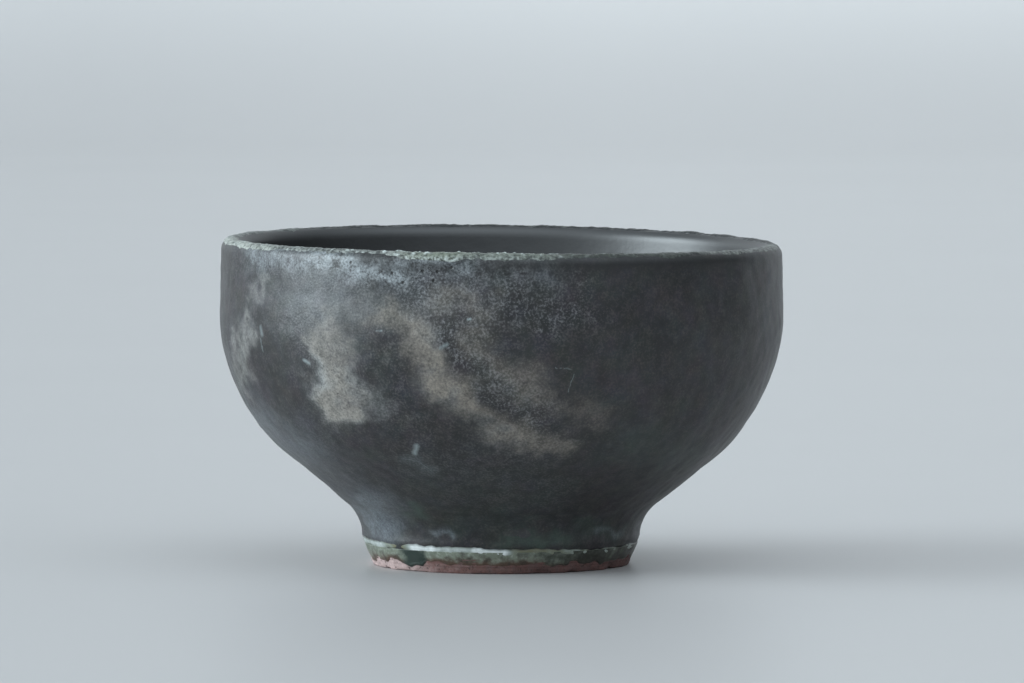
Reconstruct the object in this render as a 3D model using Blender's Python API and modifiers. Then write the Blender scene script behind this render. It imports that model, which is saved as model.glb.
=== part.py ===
"""A hand-thrown stoneware sake cup: a clay bowl luted to a clay foot ring, under fired glaze coats.

The cup stands on its foot at the origin, with +Z up the axis that it was turned on. Lengths are metres.
Every piece is a section of radius and height turned about that axis.
"""

import math

import bpy

MM = 0.001

# Upright wall and mouth, measured over the glaze
MOUTH_RADIUS = 35.0 * MM
UPRIGHT_HEIGHT = 8.8 * MM  # straight stretch from the belly to the top of the lip
LIP_CLAY = 1.1 * MM  # clay in the wall at the lip
LIP_SKIRT = 0.4 * MM  # how far the lip glaze hangs below the rounding of the lip

# Belly, hip and flank, from the upright wall down to the foot
BELLY_RADIUS = 24.0 * MM
HIP_RADIUS = 20.0 * MM
HIP_SLOPE = math.radians(55.0)  # where the belly turns into the hip, above the horizontal
FLANK_SLOPE = math.radians(39.0)
FILLET_RADIUS = 5.25 * MM  # hollow between the flank and the foot
FLANK_CLAY = 1.4 * MM  # clay in the wall at the flank

# Inside of the bowl
INNER_BELLY_RADIUS = 19.0 * MM
FLOOR_CORNER_RADIUS = 9.0 * MM
FLOOR_THICKNESS = 3.4 * MM  # clay between the foot recess and the floor glaze

# Foot
FOOT_RADIUS = 17.3 * MM  # over the glaze
FOOT_RING_WIDTH = 4.1 * MM
FOOT_EDGE_RADIUS = 0.5 * MM  # worn corners of the standing face
BARE_CLAY_HEIGHT = 1.2 * MM
SKIRT_HEIGHT = 0.65 * MM
SKIRT_THICKNESS = 0.25 * MM
ROLL_HEIGHT = 0.9 * MM
ROLL_THICKNESS = 0.6 * MM
GLAZED_FOOT_HEIGHT = 0.25 * MM  # upright foot between the glaze roll and the fillet
SEAT_RISE = 1.4 * MM  # height of the luted joint above the upright foot

# Glaze
GLAZE_THICKNESS = 0.45 * MM
FIRED_GAP = 0.3 * MM  # clearance between pieces that are fired together

# Fineness of the turning
TURN_STEPS = 48
ARC_STEPS = 6
LIP_STEPS = 6
SMALL_ARC_STEPS = 3
MERGE_DISTANCE = 0.01 * MM

# Places that follow from the sizes above
COAT = GLAZE_THICKNESS + FIRED_GAP
LIP_WALL = LIP_CLAY + 2 * COAT
FLANK_WALL = FLANK_CLAY + 2 * COAT
LIP_ARC_RADIUS = LIP_WALL / 2
INNER_MOUTH_RADIUS = MOUTH_RADIUS - LIP_WALL
FOOT_CLAY_RADIUS = FOOT_RADIUS - COAT
GLAZE_BACK_RADIUS = FOOT_RADIUS - GLAZE_THICKNESS
SKIRT_TOP = BARE_CLAY_HEIGHT + SKIRT_HEIGHT
ROLL_BOTTOM = SKIRT_TOP + FIRED_GAP
ROLL_TOP = ROLL_BOTTOM + ROLL_HEIGHT
OUTER_GLAZE_END = ROLL_TOP + FIRED_GAP
FOOT_HEIGHT = OUTER_GLAZE_END + GLAZED_FOOT_HEIGHT
SEAT_LEVEL = FOOT_HEIGHT + SEAT_RISE
FLOOR_LEVEL = SEAT_LEVEL + FLOOR_THICKNESS + COAT

# A surface's outward direction below the horizontal, where it has the hip's or the flank's slope
HIP_ANGLE = HIP_SLOPE - math.pi / 2
FLANK_ANGLE = FLANK_SLOPE - math.pi / 2


def on_circle(centre, radius, angle):
    """The point of a circle at an angle, measured from the outward horizontal."""
    return (centre[0] + radius * math.cos(angle), centre[1] + radius * math.sin(angle))


def arc(centre, radius, start, end, steps):
    """Points along an arc, both ends included."""
    return [on_circle(centre, radius, start + (end - start) * i / steps) for i in range(steps + 1)]


# The fillet's centre lies outside the clay, and the flank leaves it at its tangent point.
FILLET_CENTRE = (FOOT_RADIUS + FILLET_RADIUS, FOOT_HEIGHT)
FLANK_START = on_circle(FILLET_CENTRE, -FILLET_RADIUS, FLANK_ANGLE)

# The flank is as long as it takes to reach the hip, which hangs from the belly under the upright wall.
BELLY_CENTRE_RADIUS = MOUTH_RADIUS - BELLY_RADIUS
HIP_OFFSET = on_circle((BELLY_CENTRE_RADIUS, 0.0), BELLY_RADIUS - HIP_RADIUS, HIP_ANGLE)
HIP_END_OFFSET = on_circle(HIP_OFFSET, HIP_RADIUS, FLANK_ANGLE)
FLANK_RISE = (HIP_END_OFFSET[0] - FLANK_START[0]) * math.tan(FLANK_SLOPE)
BELLY_LEVEL = FLANK_START[1] + FLANK_RISE - HIP_END_OFFSET[1]
BELLY_CENTRE = (BELLY_CENTRE_RADIUS, BELLY_LEVEL)
HIP_CENTRE = (HIP_OFFSET[0], HIP_OFFSET[1] + BELLY_LEVEL)

CUP_HEIGHT = BELLY_LEVEL + UPRIGHT_HEIGHT
LIP_CENTRE = (MOUTH_RADIUS - LIP_ARC_RADIUS, CUP_HEIGHT - LIP_ARC_RADIUS)
LIP_GLAZE_END = LIP_CENTRE[1] - LIP_SKIRT
WALL_GLAZE_TOP = LIP_GLAZE_END - FIRED_GAP


def level_beside_flank(radius, distance):
    """Height of the point at this radius that lies this far inside the flank's outer line."""
    along = distance - (FLANK_START[0] - radius) * math.cos(FLANK_ANGLE)
    return FLANK_START[1] - along / math.sin(FLANK_ANGLE)


def radius_beside_flank(level, distance):
    """Radius of the point at this height that lies this far inside the flank's outer line."""
    along = distance - (FLANK_START[1] - level) * math.sin(FLANK_ANGLE)
    return FLANK_START[0] - along / math.cos(FLANK_ANGLE)


# The inner belly touches the inner wall and flank, and the floor corner the inner flank and floor.
INNER_BELLY_CENTRE_RADIUS = INNER_MOUTH_RADIUS - INNER_BELLY_RADIUS
INNER_BELLY_CENTRE = (
    INNER_BELLY_CENTRE_RADIUS,
    level_beside_flank(INNER_BELLY_CENTRE_RADIUS, INNER_BELLY_RADIUS + FLANK_WALL),
)
FLOOR_CORNER_LEVEL = FLOOR_LEVEL + FLOOR_CORNER_RADIUS
FLOOR_CORNER_CENTRE = (
    radius_beside_flank(FLOOR_CORNER_LEVEL, FLOOR_CORNER_RADIUS + FLANK_WALL),
    FLOOR_CORNER_LEVEL,
)


def fillet_angle(level, depth):
    """Angle on the fillet, at a depth under the glazed surface, where the section crosses a height."""
    return math.pi - math.asin((level - FOOT_HEIGHT) / (FILLET_RADIUS + depth))


def outside_line(depth):
    """The outside from the top of the belly down to the top of the flank, at a depth under the glaze."""
    belly = arc(BELLY_CENTRE, BELLY_RADIUS - depth, 0.0, HIP_ANGLE, ARC_STEPS)
    hip = arc(HIP_CENTRE, HIP_RADIUS - depth, HIP_ANGLE, FLANK_ANGLE, SMALL_ARC_STEPS)
    return belly + hip[1:]


def fillet_line(depth, start, end):
    """Part of the hollow above the foot, at a depth under the glaze."""
    return arc(FILLET_CENTRE, FILLET_RADIUS + depth, start, end, SMALL_ARC_STEPS)


def inside_line(depth):
    """The inside from the floor's centre up to the top of the belly, at a depth under the glaze."""
    floor = [(0.0, FLOOR_LEVEL - depth)]
    corner_radius = FLOOR_CORNER_RADIUS + depth
    corner = arc(FLOOR_CORNER_CENTRE, corner_radius, -math.pi / 2, FLANK_ANGLE, SMALL_ARC_STEPS)
    belly = arc(INNER_BELLY_CENTRE, INNER_BELLY_RADIUS + depth, FLANK_ANGLE, 0.0, ARC_STEPS)
    return floor + corner + belly


def lip_line(depth):
    """The rounding of the lip from inside to outside, at a depth under the glaze."""
    return arc(LIP_CENTRE, LIP_ARC_RADIUS - depth, math.pi, 0.0, LIP_STEPS)


def make_finish(name, colour, roughness):
    """A dielectric material of one colour."""
    material = bpy.data.materials.new(name)
    material.use_nodes = True
    shader = material.node_tree.nodes["Principled BSDF"]
    shader.inputs["Base Color"].default_value = (*colour, 1.0)
    shader.inputs["Roughness"].default_value = roughness
    shader.inputs["Metallic"].default_value = 0.0
    return material


def turn_piece(collection, name, section, finish, closed):
    """Turns a section about the Z axis. It runs down its outer side, and an open one ends on the axis."""
    last = len(section) - 1
    edges = [(i, i + 1) for i in range(last)]
    if closed:
        edges.append((last, 0))
    mesh = bpy.data.meshes.new(name)
    mesh.from_pydata([(radius, 0.0, level) for radius, level in section], edges, [])
    mesh.materials.append(finish)
    piece = bpy.data.objects.new(name, mesh)
    collection.objects.link(piece)
    turning = piece.modifiers.new("Turning", "SCREW")
    turning.angle = 2 * math.pi
    turning.steps = TURN_STEPS
    turning.render_steps = TURN_STEPS
    turning.use_merge_vertices = True
    turning.merge_threshold = MERGE_DISTANCE
    turning.use_smooth_shade = True
    return piece


def clay_bowl_section():
    """The thrown bowl: inside, lip, outside and the flat seat for the foot ring."""
    seat = fillet_angle(SEAT_LEVEL, COAT)
    flank_to_seat = fillet_line(COAT, math.pi + FLANK_ANGLE, seat)
    return inside_line(COAT) + lip_line(COAT) + outside_line(COAT) + flank_to_seat + [(0.0, SEAT_LEVEL)]


def foot_ring_section():
    """The foot ring, from its luted top down the outside, across the standing face and up the recess."""
    top = SEAT_LEVEL - FIRED_GAP
    outer_edge = (FOOT_CLAY_RADIUS - FOOT_EDGE_RADIUS, FOOT_EDGE_RADIUS)
    recess_radius = FOOT_CLAY_RADIUS - FOOT_RING_WIDTH
    inner_edge = (recess_radius + FOOT_EDGE_RADIUS, FOOT_EDGE_RADIUS)
    return (
        fillet_line(COAT, fillet_angle(top, COAT), math.pi)
        + arc(outer_edge, FOOT_EDGE_RADIUS, 0.0, -math.pi / 2, SMALL_ARC_STEPS)
        + arc(inner_edge, FOOT_EDGE_RADIUS, -math.pi / 2, -math.pi, SMALL_ARC_STEPS)
        + [(recess_radius, top)]
    )


def outer_glaze_line(depth):
    """The outer coat's line from the lip glaze down to the glaze roll, at a depth under its surface."""
    wall_top = [(MOUTH_RADIUS - depth, WALL_GLAZE_TOP)]
    hollow = fillet_line(depth, math.pi + FLANK_ANGLE, math.pi)
    return wall_top + outside_line(depth) + hollow + [(FOOT_RADIUS - depth, OUTER_GLAZE_END)]


def outer_glaze_section():
    """The charcoal coat on the outside, down to the glaze roll."""
    return outer_glaze_line(0.0) + outer_glaze_line(GLAZE_THICKNESS)[::-1]


def inner_glaze_section():
    """The liner glaze, from the floor's centre up to the lip glaze and back."""
    face = inside_line(0.0) + [(INNER_MOUTH_RADIUS, WALL_GLAZE_TOP)]
    back = inside_line(GLAZE_THICKNESS) + [(INNER_MOUTH_RADIUS + GLAZE_THICKNESS, WALL_GLAZE_TOP)]
    return face + back[::-1]


def lip_glaze_line(depth):
    """The lip glaze's line from its inner to its outer lower edge, at a depth under its surface."""
    inner_end = [(INNER_MOUTH_RADIUS + depth, LIP_GLAZE_END)]
    outer_end = [(MOUTH_RADIUS - depth, LIP_GLAZE_END)]
    return inner_end + lip_line(depth) + outer_end


def lip_glaze_section():
    """The thin green glaze that is left on the lip, between the two coats."""
    return lip_glaze_line(0.0) + lip_glaze_line(GLAZE_THICKNESS)[::-1]


def glaze_roll_section():
    """The pale roll where the glaze pooled on the foot: half an ellipse on a flat back."""
    middle = (ROLL_BOTTOM + ROLL_TOP) / 2
    turns = [math.pi * i / LIP_STEPS for i in range(LIP_STEPS + 1)]
    return [
        (GLAZE_BACK_RADIUS + ROLL_THICKNESS * math.sin(t), middle + ROLL_HEIGHT / 2 * math.cos(t))
        for t in turns
    ]


def glaze_skirt_section():
    """The thin olive run of glaze between the roll and the bare clay, with a tapered lower edge."""
    face_radius = GLAZE_BACK_RADIUS + SKIRT_THICKNESS
    taper_top = BARE_CLAY_HEIGHT + SKIRT_THICKNESS
    return [
        (GLAZE_BACK_RADIUS, SKIRT_TOP),
        (face_radius, SKIRT_TOP),
        (face_radius, taper_top),
        (GLAZE_BACK_RADIUS, BARE_CLAY_HEIGHT),
    ]


def main():
    """Clears the scene and turns every piece of the cup."""
    for leftover in list(bpy.data.objects):
        bpy.data.objects.remove(leftover)
    cup = bpy.data.collections.new("sake_cup")
    bpy.context.scene.collection.children.link(cup)

    clay = make_finish("iron_stoneware", (0.20, 0.085, 0.065), 0.85)
    charcoal = make_finish("charcoal_matt_glaze", (0.052, 0.056, 0.058), 0.55)
    liner = make_finish("dark_liner_glaze", (0.035, 0.037, 0.038), 0.35)
    lip_green = make_finish("thin_green_glaze", (0.17, 0.20, 0.165), 0.45)
    pale = make_finish("pooled_pale_glaze", (0.52, 0.56, 0.53), 0.30)
    olive = make_finish("olive_glaze_run", (0.085, 0.095, 0.065), 0.40)

    turn_piece(cup, "clay_bowl", clay_bowl_section(), clay, closed=False)
    turn_piece(cup, "foot_ring", foot_ring_section(), clay, closed=True)
    turn_piece(cup, "outer_glaze", outer_glaze_section(), charcoal, closed=True)
    turn_piece(cup, "inner_glaze", inner_glaze_section(), liner, closed=False)
    turn_piece(cup, "lip_glaze", lip_glaze_section(), lip_green, closed=True)
    turn_piece(cup, "foot_glaze_roll", glaze_roll_section(), pale, closed=True)
    turn_piece(cup, "foot_glaze_skirt", glaze_skirt_section(), olive, closed=True)


if __name__ == "__main__":
    main()
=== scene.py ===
"""Looks of a hand-thrown stoneware sake cup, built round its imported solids.

The cup stands on its foot at the origin with +Z up, and its photographed side faces -Y, with +X to the
viewer's right. Lengths are metres, and a value times MM is written in millimetres.

Every piece is a section of radius and height carried round the Z axis, as a grid of rows along the section
and columns round it. Ripples and a hand-thrown warp then move the whole grid at once.
"""

import logging
import math
from dataclasses import dataclass
from enum import Enum
from typing import Any, NamedTuple

import bpy
import numpy as np
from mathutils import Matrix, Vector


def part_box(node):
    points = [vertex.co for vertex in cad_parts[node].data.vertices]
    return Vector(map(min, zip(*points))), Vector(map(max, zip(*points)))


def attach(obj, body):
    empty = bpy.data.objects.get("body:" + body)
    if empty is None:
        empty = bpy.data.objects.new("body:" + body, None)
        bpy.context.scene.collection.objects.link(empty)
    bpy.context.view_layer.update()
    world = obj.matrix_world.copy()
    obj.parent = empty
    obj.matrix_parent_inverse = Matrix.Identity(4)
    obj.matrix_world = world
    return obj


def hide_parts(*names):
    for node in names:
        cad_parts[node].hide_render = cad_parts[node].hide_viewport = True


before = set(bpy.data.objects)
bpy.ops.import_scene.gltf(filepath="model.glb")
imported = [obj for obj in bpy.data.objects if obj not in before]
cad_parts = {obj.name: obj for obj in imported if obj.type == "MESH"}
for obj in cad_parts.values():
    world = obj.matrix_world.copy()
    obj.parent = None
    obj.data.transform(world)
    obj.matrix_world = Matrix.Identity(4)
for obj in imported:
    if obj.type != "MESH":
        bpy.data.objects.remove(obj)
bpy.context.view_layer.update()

LOG = logging.getLogger("sake_cup")
MM = 0.001
BODY = "root"
SIDE_FADE = 5.0 * MM  # a patch fades out over this depth at the sides of the cup
OUTLINE_WAVES = ((5.0 * MM, 1.0, 70), (1.8 * MM, 0.5, 80))  # wavelength, share and first seed of each

Piece = bpy.types.Object
Pair = tuple[float, float]


def linear(colour: str) -> tuple[float, float, float, float]:
    """Turns an sRGB hex colour into linear light, by the constants of the sRGB curve.

    Args:
        colour: six hex digits after a hash sign.

    Returns:
        Red, green, blue and an alpha of one.
    """
    channels = np.array([int(colour[i:i + 2], 16) for i in (1, 3, 5)]) / 255
    light = np.where(channels <= 0.04045, channels / 12.92, ((channels + 0.055) / 1.055) ** 2.4)
    return (*light.tolist(), 1.0)


def swelling(value: Any, middle: float, spread: float) -> Any:
    """A soft hump: exp(-((value - middle) / spread) squared)."""
    return np.exp(-(((value - middle) / spread) ** 2))


class Facing(Enum):
    """The side that a patch is laid out on: how far its viewer has walked round the cup, in degrees."""

    FRONT = 0.0
    RIGHT = 90.0
    BACK = 180.0
    LEFT = 270.0

    def split(self, points: np.ndarray) -> tuple[np.ndarray, np.ndarray]:
        """Measures points as this side's viewer sees them.

        Args:
            points: places on the cup, with x, y and z last.

        Returns:
            The distance to the viewer's right, and the distance past the axis away from the viewer.
        """
        turn = math.radians(self.value)
        across = points[..., 0] * math.cos(turn) + points[..., 1] * math.sin(turn)
        depth = points[..., 1] * math.cos(turn) - points[..., 0] * math.sin(turn)
        return across, depth


@dataclass(frozen=True)
class Ripple:
    """A field of small waves: a sum of sines in seeded directions, of about one wavelength."""

    wavelength: float
    depth: float
    seed: int
    waves: int = 36
    spread: Pair = (0.7, 1.5)  # the shortest and the longest wave, as shares of the wavelength

    def at(self, points: np.ndarray) -> np.ndarray:
        """Reads the field: depth times the scaled sum of sin(2 pi way . p / length + phase) over the waves.

        Args:
            points: places on the cup, with x, y and z last.

        Returns:
            One height per place, with a spread of about the depth.
        """
        draw = np.random.default_rng(self.seed)
        ways = draw.normal(size=(self.waves, 3))
        ways /= np.linalg.norm(ways, axis=1, keepdims=True)
        lengths = self.wavelength * draw.uniform(*self.spread, size=(self.waves, 1))
        phases = draw.uniform(0, 2 * math.pi, size=self.waves)
        swell = np.sin(points @ (2 * math.pi * ways / lengths).T + phases).sum(-1)
        return self.depth * math.sqrt(2 / self.waves) * swell


Ripples = tuple[Ripple, ...]


def summed(ripples: Ripples, points: np.ndarray) -> np.ndarray:
    """Adds up fields of ripples at places on the cup."""
    return sum(ripple.at(points) for ripple in ripples)


@dataclass(frozen=True)
class Stroke:
    """A soft patch on the wall along a path, laid out in millimetres as one side's viewer sees it."""

    path: tuple[Pair, ...]
    half_width: float
    strength: float = 1.0
    facing: Facing = Facing.FRONT

    def density(self, points: np.ndarray) -> np.ndarray:
        """Reads the patch: strength times exp(-(d / half width) squared), with d the distance to the path.

        Args:
            points: places on the cup, with x, y and z last.

        Returns:
            One density per place, fading to none round the far side of the cup.
        """
        across, depth = self.facing.split(points)
        here = np.stack([across, points[..., 2]], -1)
        stops = np.array(self.path) * MM
        nearest = np.full(across.shape, np.inf)
        for start, end in zip(stops[:-1], stops[1:]):
            run = end - start
            share = np.clip((here - start) @ run / (run @ run), 0, 1)
            nearest = np.minimum(nearest, np.linalg.norm(here - start - share[..., None] * run, axis=-1))
        near_side = np.clip(0.5 - depth / SIDE_FADE, 0, 1)
        return self.strength * swelling(nearest, 0.0, self.half_width * MM) * near_side


Strokes = tuple[Stroke, ...]


def drawn(*rows: tuple[float, ...], facing: Facing = Facing.FRONT) -> Strokes:
    """Strokes on one side, from rows of half width, strength and the stops' distances across and up."""
    return tuple(Stroke(tuple(zip(row[2::2], row[3::2])), *row[:2], facing) for row in rows)


def bands(level: float, *rows: tuple[Any, ...]) -> Strokes:
    """Level strokes at one height, from rows of half width, strength, ends and the side if not the front."""
    return tuple(
        Stroke(((left, level), (right, level)), width, strength, *side)
        for width, strength, left, right, *side in rows)


def laid_over(strokes: Strokes, points: np.ndarray, ragged: float = 0.0) -> np.ndarray:
    """Lays strokes over each other, as veils do: one less the product of what each lets through.

    Args:
        strokes: the patches.
        points: places on the cup.
        ragged: how far the outlines wander, in metres.

    Returns:
        One density per place.
    """
    wander = np.zeros_like(points)
    for wavelength, share, seed in OUTLINE_WAVES:
        for axis in range(3):
            wander[..., axis] += Ripple(wavelength, share * ragged, seed + axis).at(points)
    return 1 - np.prod([1 - stroke.density(points + wander) for stroke in strokes], axis=0)


def arc(centre: Pair, radius: float, start: float, end: float, count: int) -> np.ndarray:
    """Points along an arc of the section: centre + radius (cos a, sin a), with a from start to end."""
    angle = np.linspace(start, end, count)
    return np.stack([centre[0] + radius * np.cos(angle), centre[1] + radius * np.sin(angle)], -1)


def evenly(line: np.ndarray, count: int) -> np.ndarray:
    """Resamples a line at equal steps of its own length.

    Args:
        line: radii and heights.
        count: how many points to give it.

    Returns:
        Radii and heights along the same line.
    """
    along = np.concatenate([[0], np.cumsum(np.linalg.norm(np.diff(line, axis=0), axis=1))])
    steps = np.linspace(0, along[-1], count)
    return np.stack([np.interp(steps, along, line[:, i]) for i in range(2)], -1)


@dataclass(frozen=True)
class CupSection:
    """The turned section of the glazed wall, with the sizes that the solids were turned to."""

    mouth_radius: float
    height: float
    lip_wall: float = 2.6 * MM
    belly_radius: float = 24.0 * MM
    hip_radius: float = 20.0 * MM
    hip_slope: float = math.radians(55.0)
    flank_slope: float = math.radians(39.0)
    fillet_radius: float = 5.25 * MM
    foot_radius: float = 17.3 * MM
    foot_height: float = 3.6 * MM
    foot_taper: float = 0.36  # how fast the foot draws in below its full height
    flank_wall: float = 2.9 * MM
    inner_belly_radius: float = 19.0 * MM
    floor_corner_radius: float = 9.0 * MM
    floor_level: float = 9.15 * MM
    upright_height: float = 8.8 * MM
    lip_steps: int = 12  # points along each arc of the section
    belly_steps: int = 60
    hip_steps: int = 16
    fillet_steps: int = 30
    corner_steps: int = 24

    @classmethod
    def from_frame(cls) -> "CupSection":
        """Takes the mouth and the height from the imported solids."""
        return cls(mouth_radius=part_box("outer_glaze")[1].x, height=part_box("lip_glaze")[1].z)

    @property
    def lip_radius(self) -> float:
        """Radius of the half-round lip."""
        return self.lip_wall / 2

    @property
    def lip_centre(self) -> Pair:
        """Radius and height of the centre of the lip's rounding."""
        return self.mouth_radius - self.lip_radius, self.height - self.lip_radius

    @property
    def fillet_centre(self) -> Pair:
        """Radius and height of the centre of the hollow above the foot."""
        return self.foot_radius + self.fillet_radius, self.foot_height

    def foot_at(self, level: Any) -> Any:
        """Radius of the glazed foot at a height, which draws in towards the table as a cone."""
        return self.foot_radius - self.foot_taper * (self.foot_height - level)

    def lip_at(self, reach: np.ndarray) -> tuple[np.ndarray, np.ndarray, np.ndarray, np.ndarray]:
        """The lip's line by its length from the crest: a half circle, then straight down each wall.

        Args:
            reach: lengths from the crest, positive towards the outside.

        Returns:
            Radius, height, and the radial and upright parts of the outward direction.
        """
        turn = np.clip(reach / self.lip_radius, -math.pi / 2, math.pi / 2)
        fall = np.maximum(np.abs(reach) - self.lip_radius * math.pi / 2, 0)
        radius = self.lip_centre[0] + self.lip_radius * np.sin(turn)
        return radius, self.lip_centre[1] + self.lip_radius * np.cos(turn) - fall, np.sin(turn), np.cos(turn)

    def outside(self, end_level: float, lip_turn: float, depth: float = 0.0) -> np.ndarray:
        """The outer line from the lip down to a level on the foot, at a depth under the surface.

        Args:
            end_level: height on the foot where the line stops.
            lip_turn: where it starts on the lip, as an angle from the crest.
            depth: distance under the glazed surface.

        Returns:
            Radii and heights, top to bottom.
        """
        hip, flank = self.hip_slope - math.pi / 2, self.flank_slope - math.pi / 2
        belly_centre = (self.mouth_radius - self.belly_radius, self.height - self.upright_height)
        reach = self.belly_radius - self.hip_radius
        hip_centre = (belly_centre[0] + reach * math.cos(hip), belly_centre[1] + reach * math.sin(hip))
        return np.vstack([
            arc(self.lip_centre, self.lip_radius - depth, math.pi / 2 - lip_turn, 0, self.lip_steps),
            arc(belly_centre, self.belly_radius - depth, 0, hip, self.belly_steps),
            arc(hip_centre, self.hip_radius - depth, hip, flank, self.hip_steps),
            arc(self.fillet_centre, self.fillet_radius + depth, math.pi + flank, math.pi, self.fillet_steps),
            [(self.foot_at(end_level) - depth, end_level)],
        ])

    def inside(self, lip_turn: float, depth: float = 0.0) -> np.ndarray:
        """The inner line from the floor's centre up to the lip, at a depth under the surface.

        Args:
            lip_turn: where it ends on the lip, as an angle from the crest.
            depth: distance under the glazed surface.

        Returns:
            Radii and heights, from the axis up.
        """
        flank = self.flank_slope - math.pi / 2
        out_r, out_z = math.cos(flank), math.sin(flank)
        start = np.array(self.fillet_centre) - self.fillet_radius * np.array([out_r, out_z])
        belly_r = self.mouth_radius - self.lip_wall - self.inner_belly_radius
        clear = self.inner_belly_radius + self.flank_wall - (start[0] - belly_r) * out_r
        corner_z = self.floor_level + self.floor_corner_radius
        spare = self.floor_corner_radius + self.flank_wall - (start[1] - corner_z) * out_z
        corner = (start[0] - spare / out_r, corner_z)
        belly = (belly_r, start[1] - clear / out_z)
        return np.vstack([
            [(0.0, self.floor_level - depth)],
            arc(corner, self.floor_corner_radius + depth, -math.pi / 2, flank, self.corner_steps),
            arc(belly, self.inner_belly_radius + depth, flank, 0, self.belly_steps),
            arc(self.lip_centre, self.lip_radius - depth, math.pi, math.pi / 2 + lip_turn, self.lip_steps),
        ])

    def wall_radius(self, level: float) -> float:
        """Outer radius at a height."""
        line = self.outside(0.0, math.pi / 2)[::-1]
        return float(np.interp(level, line[:, 1], line[:, 0]))


@dataclass(frozen=True)
class ThrownWarp:
    """How the hand-thrown cup strays from a true turning: it grows from nothing at the foot."""

    height: float
    mouth_radius: float
    rim_fall: float = 0.45 * MM  # the rim is this much lower at the right and higher at the left
    saddle: float = 0.12 * MM  # front and back of the rim stand this much higher than its sides
    lean: float = 0.45 * MM  # the flank leans to the right
    lean_level: float = 11.5 * MM
    lean_spread: float = 4.5 * MM
    oval: float = -0.10 * MM
    oval_turn: float = 0.6
    lobes: float = 0.10 * MM
    bulges: tuple[tuple[float, float, float], ...] = (  # amount, height and spread of each swelling
        (0.22 * MM, 30.5 * MM, 6.5 * MM),
        (0.34 * MM, 8.0 * MM, 2.8 * MM),
    )

    def bend(self, points: np.ndarray) -> np.ndarray:
        """Moves places: z falls with x and rises with y squared, x leans at the flank, r swells in lobes.

        Args:
            points: places on the true turning, with x, y and z last.

        Returns:
            The places on the thrown cup.
        """
        x, y, z = np.moveaxis(points, -1, 0)
        share = np.clip(z / self.height, 0, 1) ** 2
        angle = np.arctan2(y, x)
        reach = np.hypot(x, y) / self.mouth_radius
        swell = (self.oval * np.cos(2 * angle + self.oval_turn) + self.lobes * np.cos(3 * angle)) * share
        for amount, level, spread in self.bulges:
            swell = swell + amount * swelling(z, level, spread)
        fall = self.rim_fall * x / self.mouth_radius
        lift = self.saddle * (y ** 2 - x ** 2) / self.mouth_radius ** 2 - fall
        push = self.lean * swelling(z, self.lean_level, self.lean_spread) * reach
        return np.stack([
            x + swell * reach * np.cos(angle) + push,
            y + swell * reach * np.sin(angle),
            z + lift * share,
        ], -1)


def linked_mesh(name: str, points: np.ndarray, faces: list[list[int]]) -> Piece:
    """Puts places and faces into a smooth mesh.

    Args:
        name: the piece's name.
        points: places, with x, y and z last.
        faces: the places' numbers, face by face.

    Returns:
        The piece, linked to the scene, with its place in its mesh.
    """
    mesh = bpy.data.meshes.new(name)
    mesh.from_pydata(points.reshape(-1, 3).tolist(), [], faces)
    mesh.shade_smooth()
    piece = bpy.data.objects.new(name, mesh)
    bpy.context.scene.collection.objects.link(piece)
    return piece


def wrapped_mesh(name: str, grid: np.ndarray, poles: bool) -> Piece:
    """Closes a grid into a mesh: round the columns, and down the rows into a loop or onto two poles.

    Args:
        name: the piece's name.
        grid: places by row and column, running down the outer side.
        poles: whether the first and last rows are single points on the axis.

    Returns:
        The piece.
    """
    index = np.arange(grid.shape[0] * grid.shape[1]).reshape(grid.shape[:2])
    upper, lower = index, np.roll(index, -1, axis=0)
    if poles:
        grid = np.vstack([grid[0].mean(0), grid[1:-1].reshape(-1, 3), grid[-1].mean(0)])
        index = np.clip(index - index.shape[1] + 1, 0, len(grid) - 1)
        upper, lower = index[:-1], index[1:]
    quads = np.stack([upper, lower, np.roll(lower, -1, 1), np.roll(upper, -1, 1)], -1)
    if not poles:
        return linked_mesh(name, grid, quads.reshape(-1, 4).tolist())
    caps = quads[0][:, :3].tolist(), quads[-1][:, [0, 1, 3]].tolist()
    return linked_mesh(name, grid, caps[0] + quads[1:-1].reshape(-1, 4).tolist() + caps[1])


def paint(piece: Piece, name: str, values: np.ndarray) -> None:
    """Writes one number per vertex to a named attribute, for the piece's finish to read."""
    layer = piece.data.attributes.new(name, "FLOAT", "POINT")
    layer.data.foreach_set("value", np.ascontiguousarray(values, np.float32).ravel())


def paint_strokes(piece: Piece, name: str, strokes: Strokes, ragged: float = 0.0) -> None:
    """Paints strokes on a piece, as a named attribute.

    Args:
        piece: the piece.
        name: the attribute.
        strokes: the patches.
        ragged: how far their outlines wander, in metres.
    """
    places = np.empty(len(piece.data.vertices) * 3, np.float32)
    piece.data.vertices.foreach_get("co", places)
    paint(piece, name, laid_over(strokes, places.reshape(-1, 3).astype(float), ragged))


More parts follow.
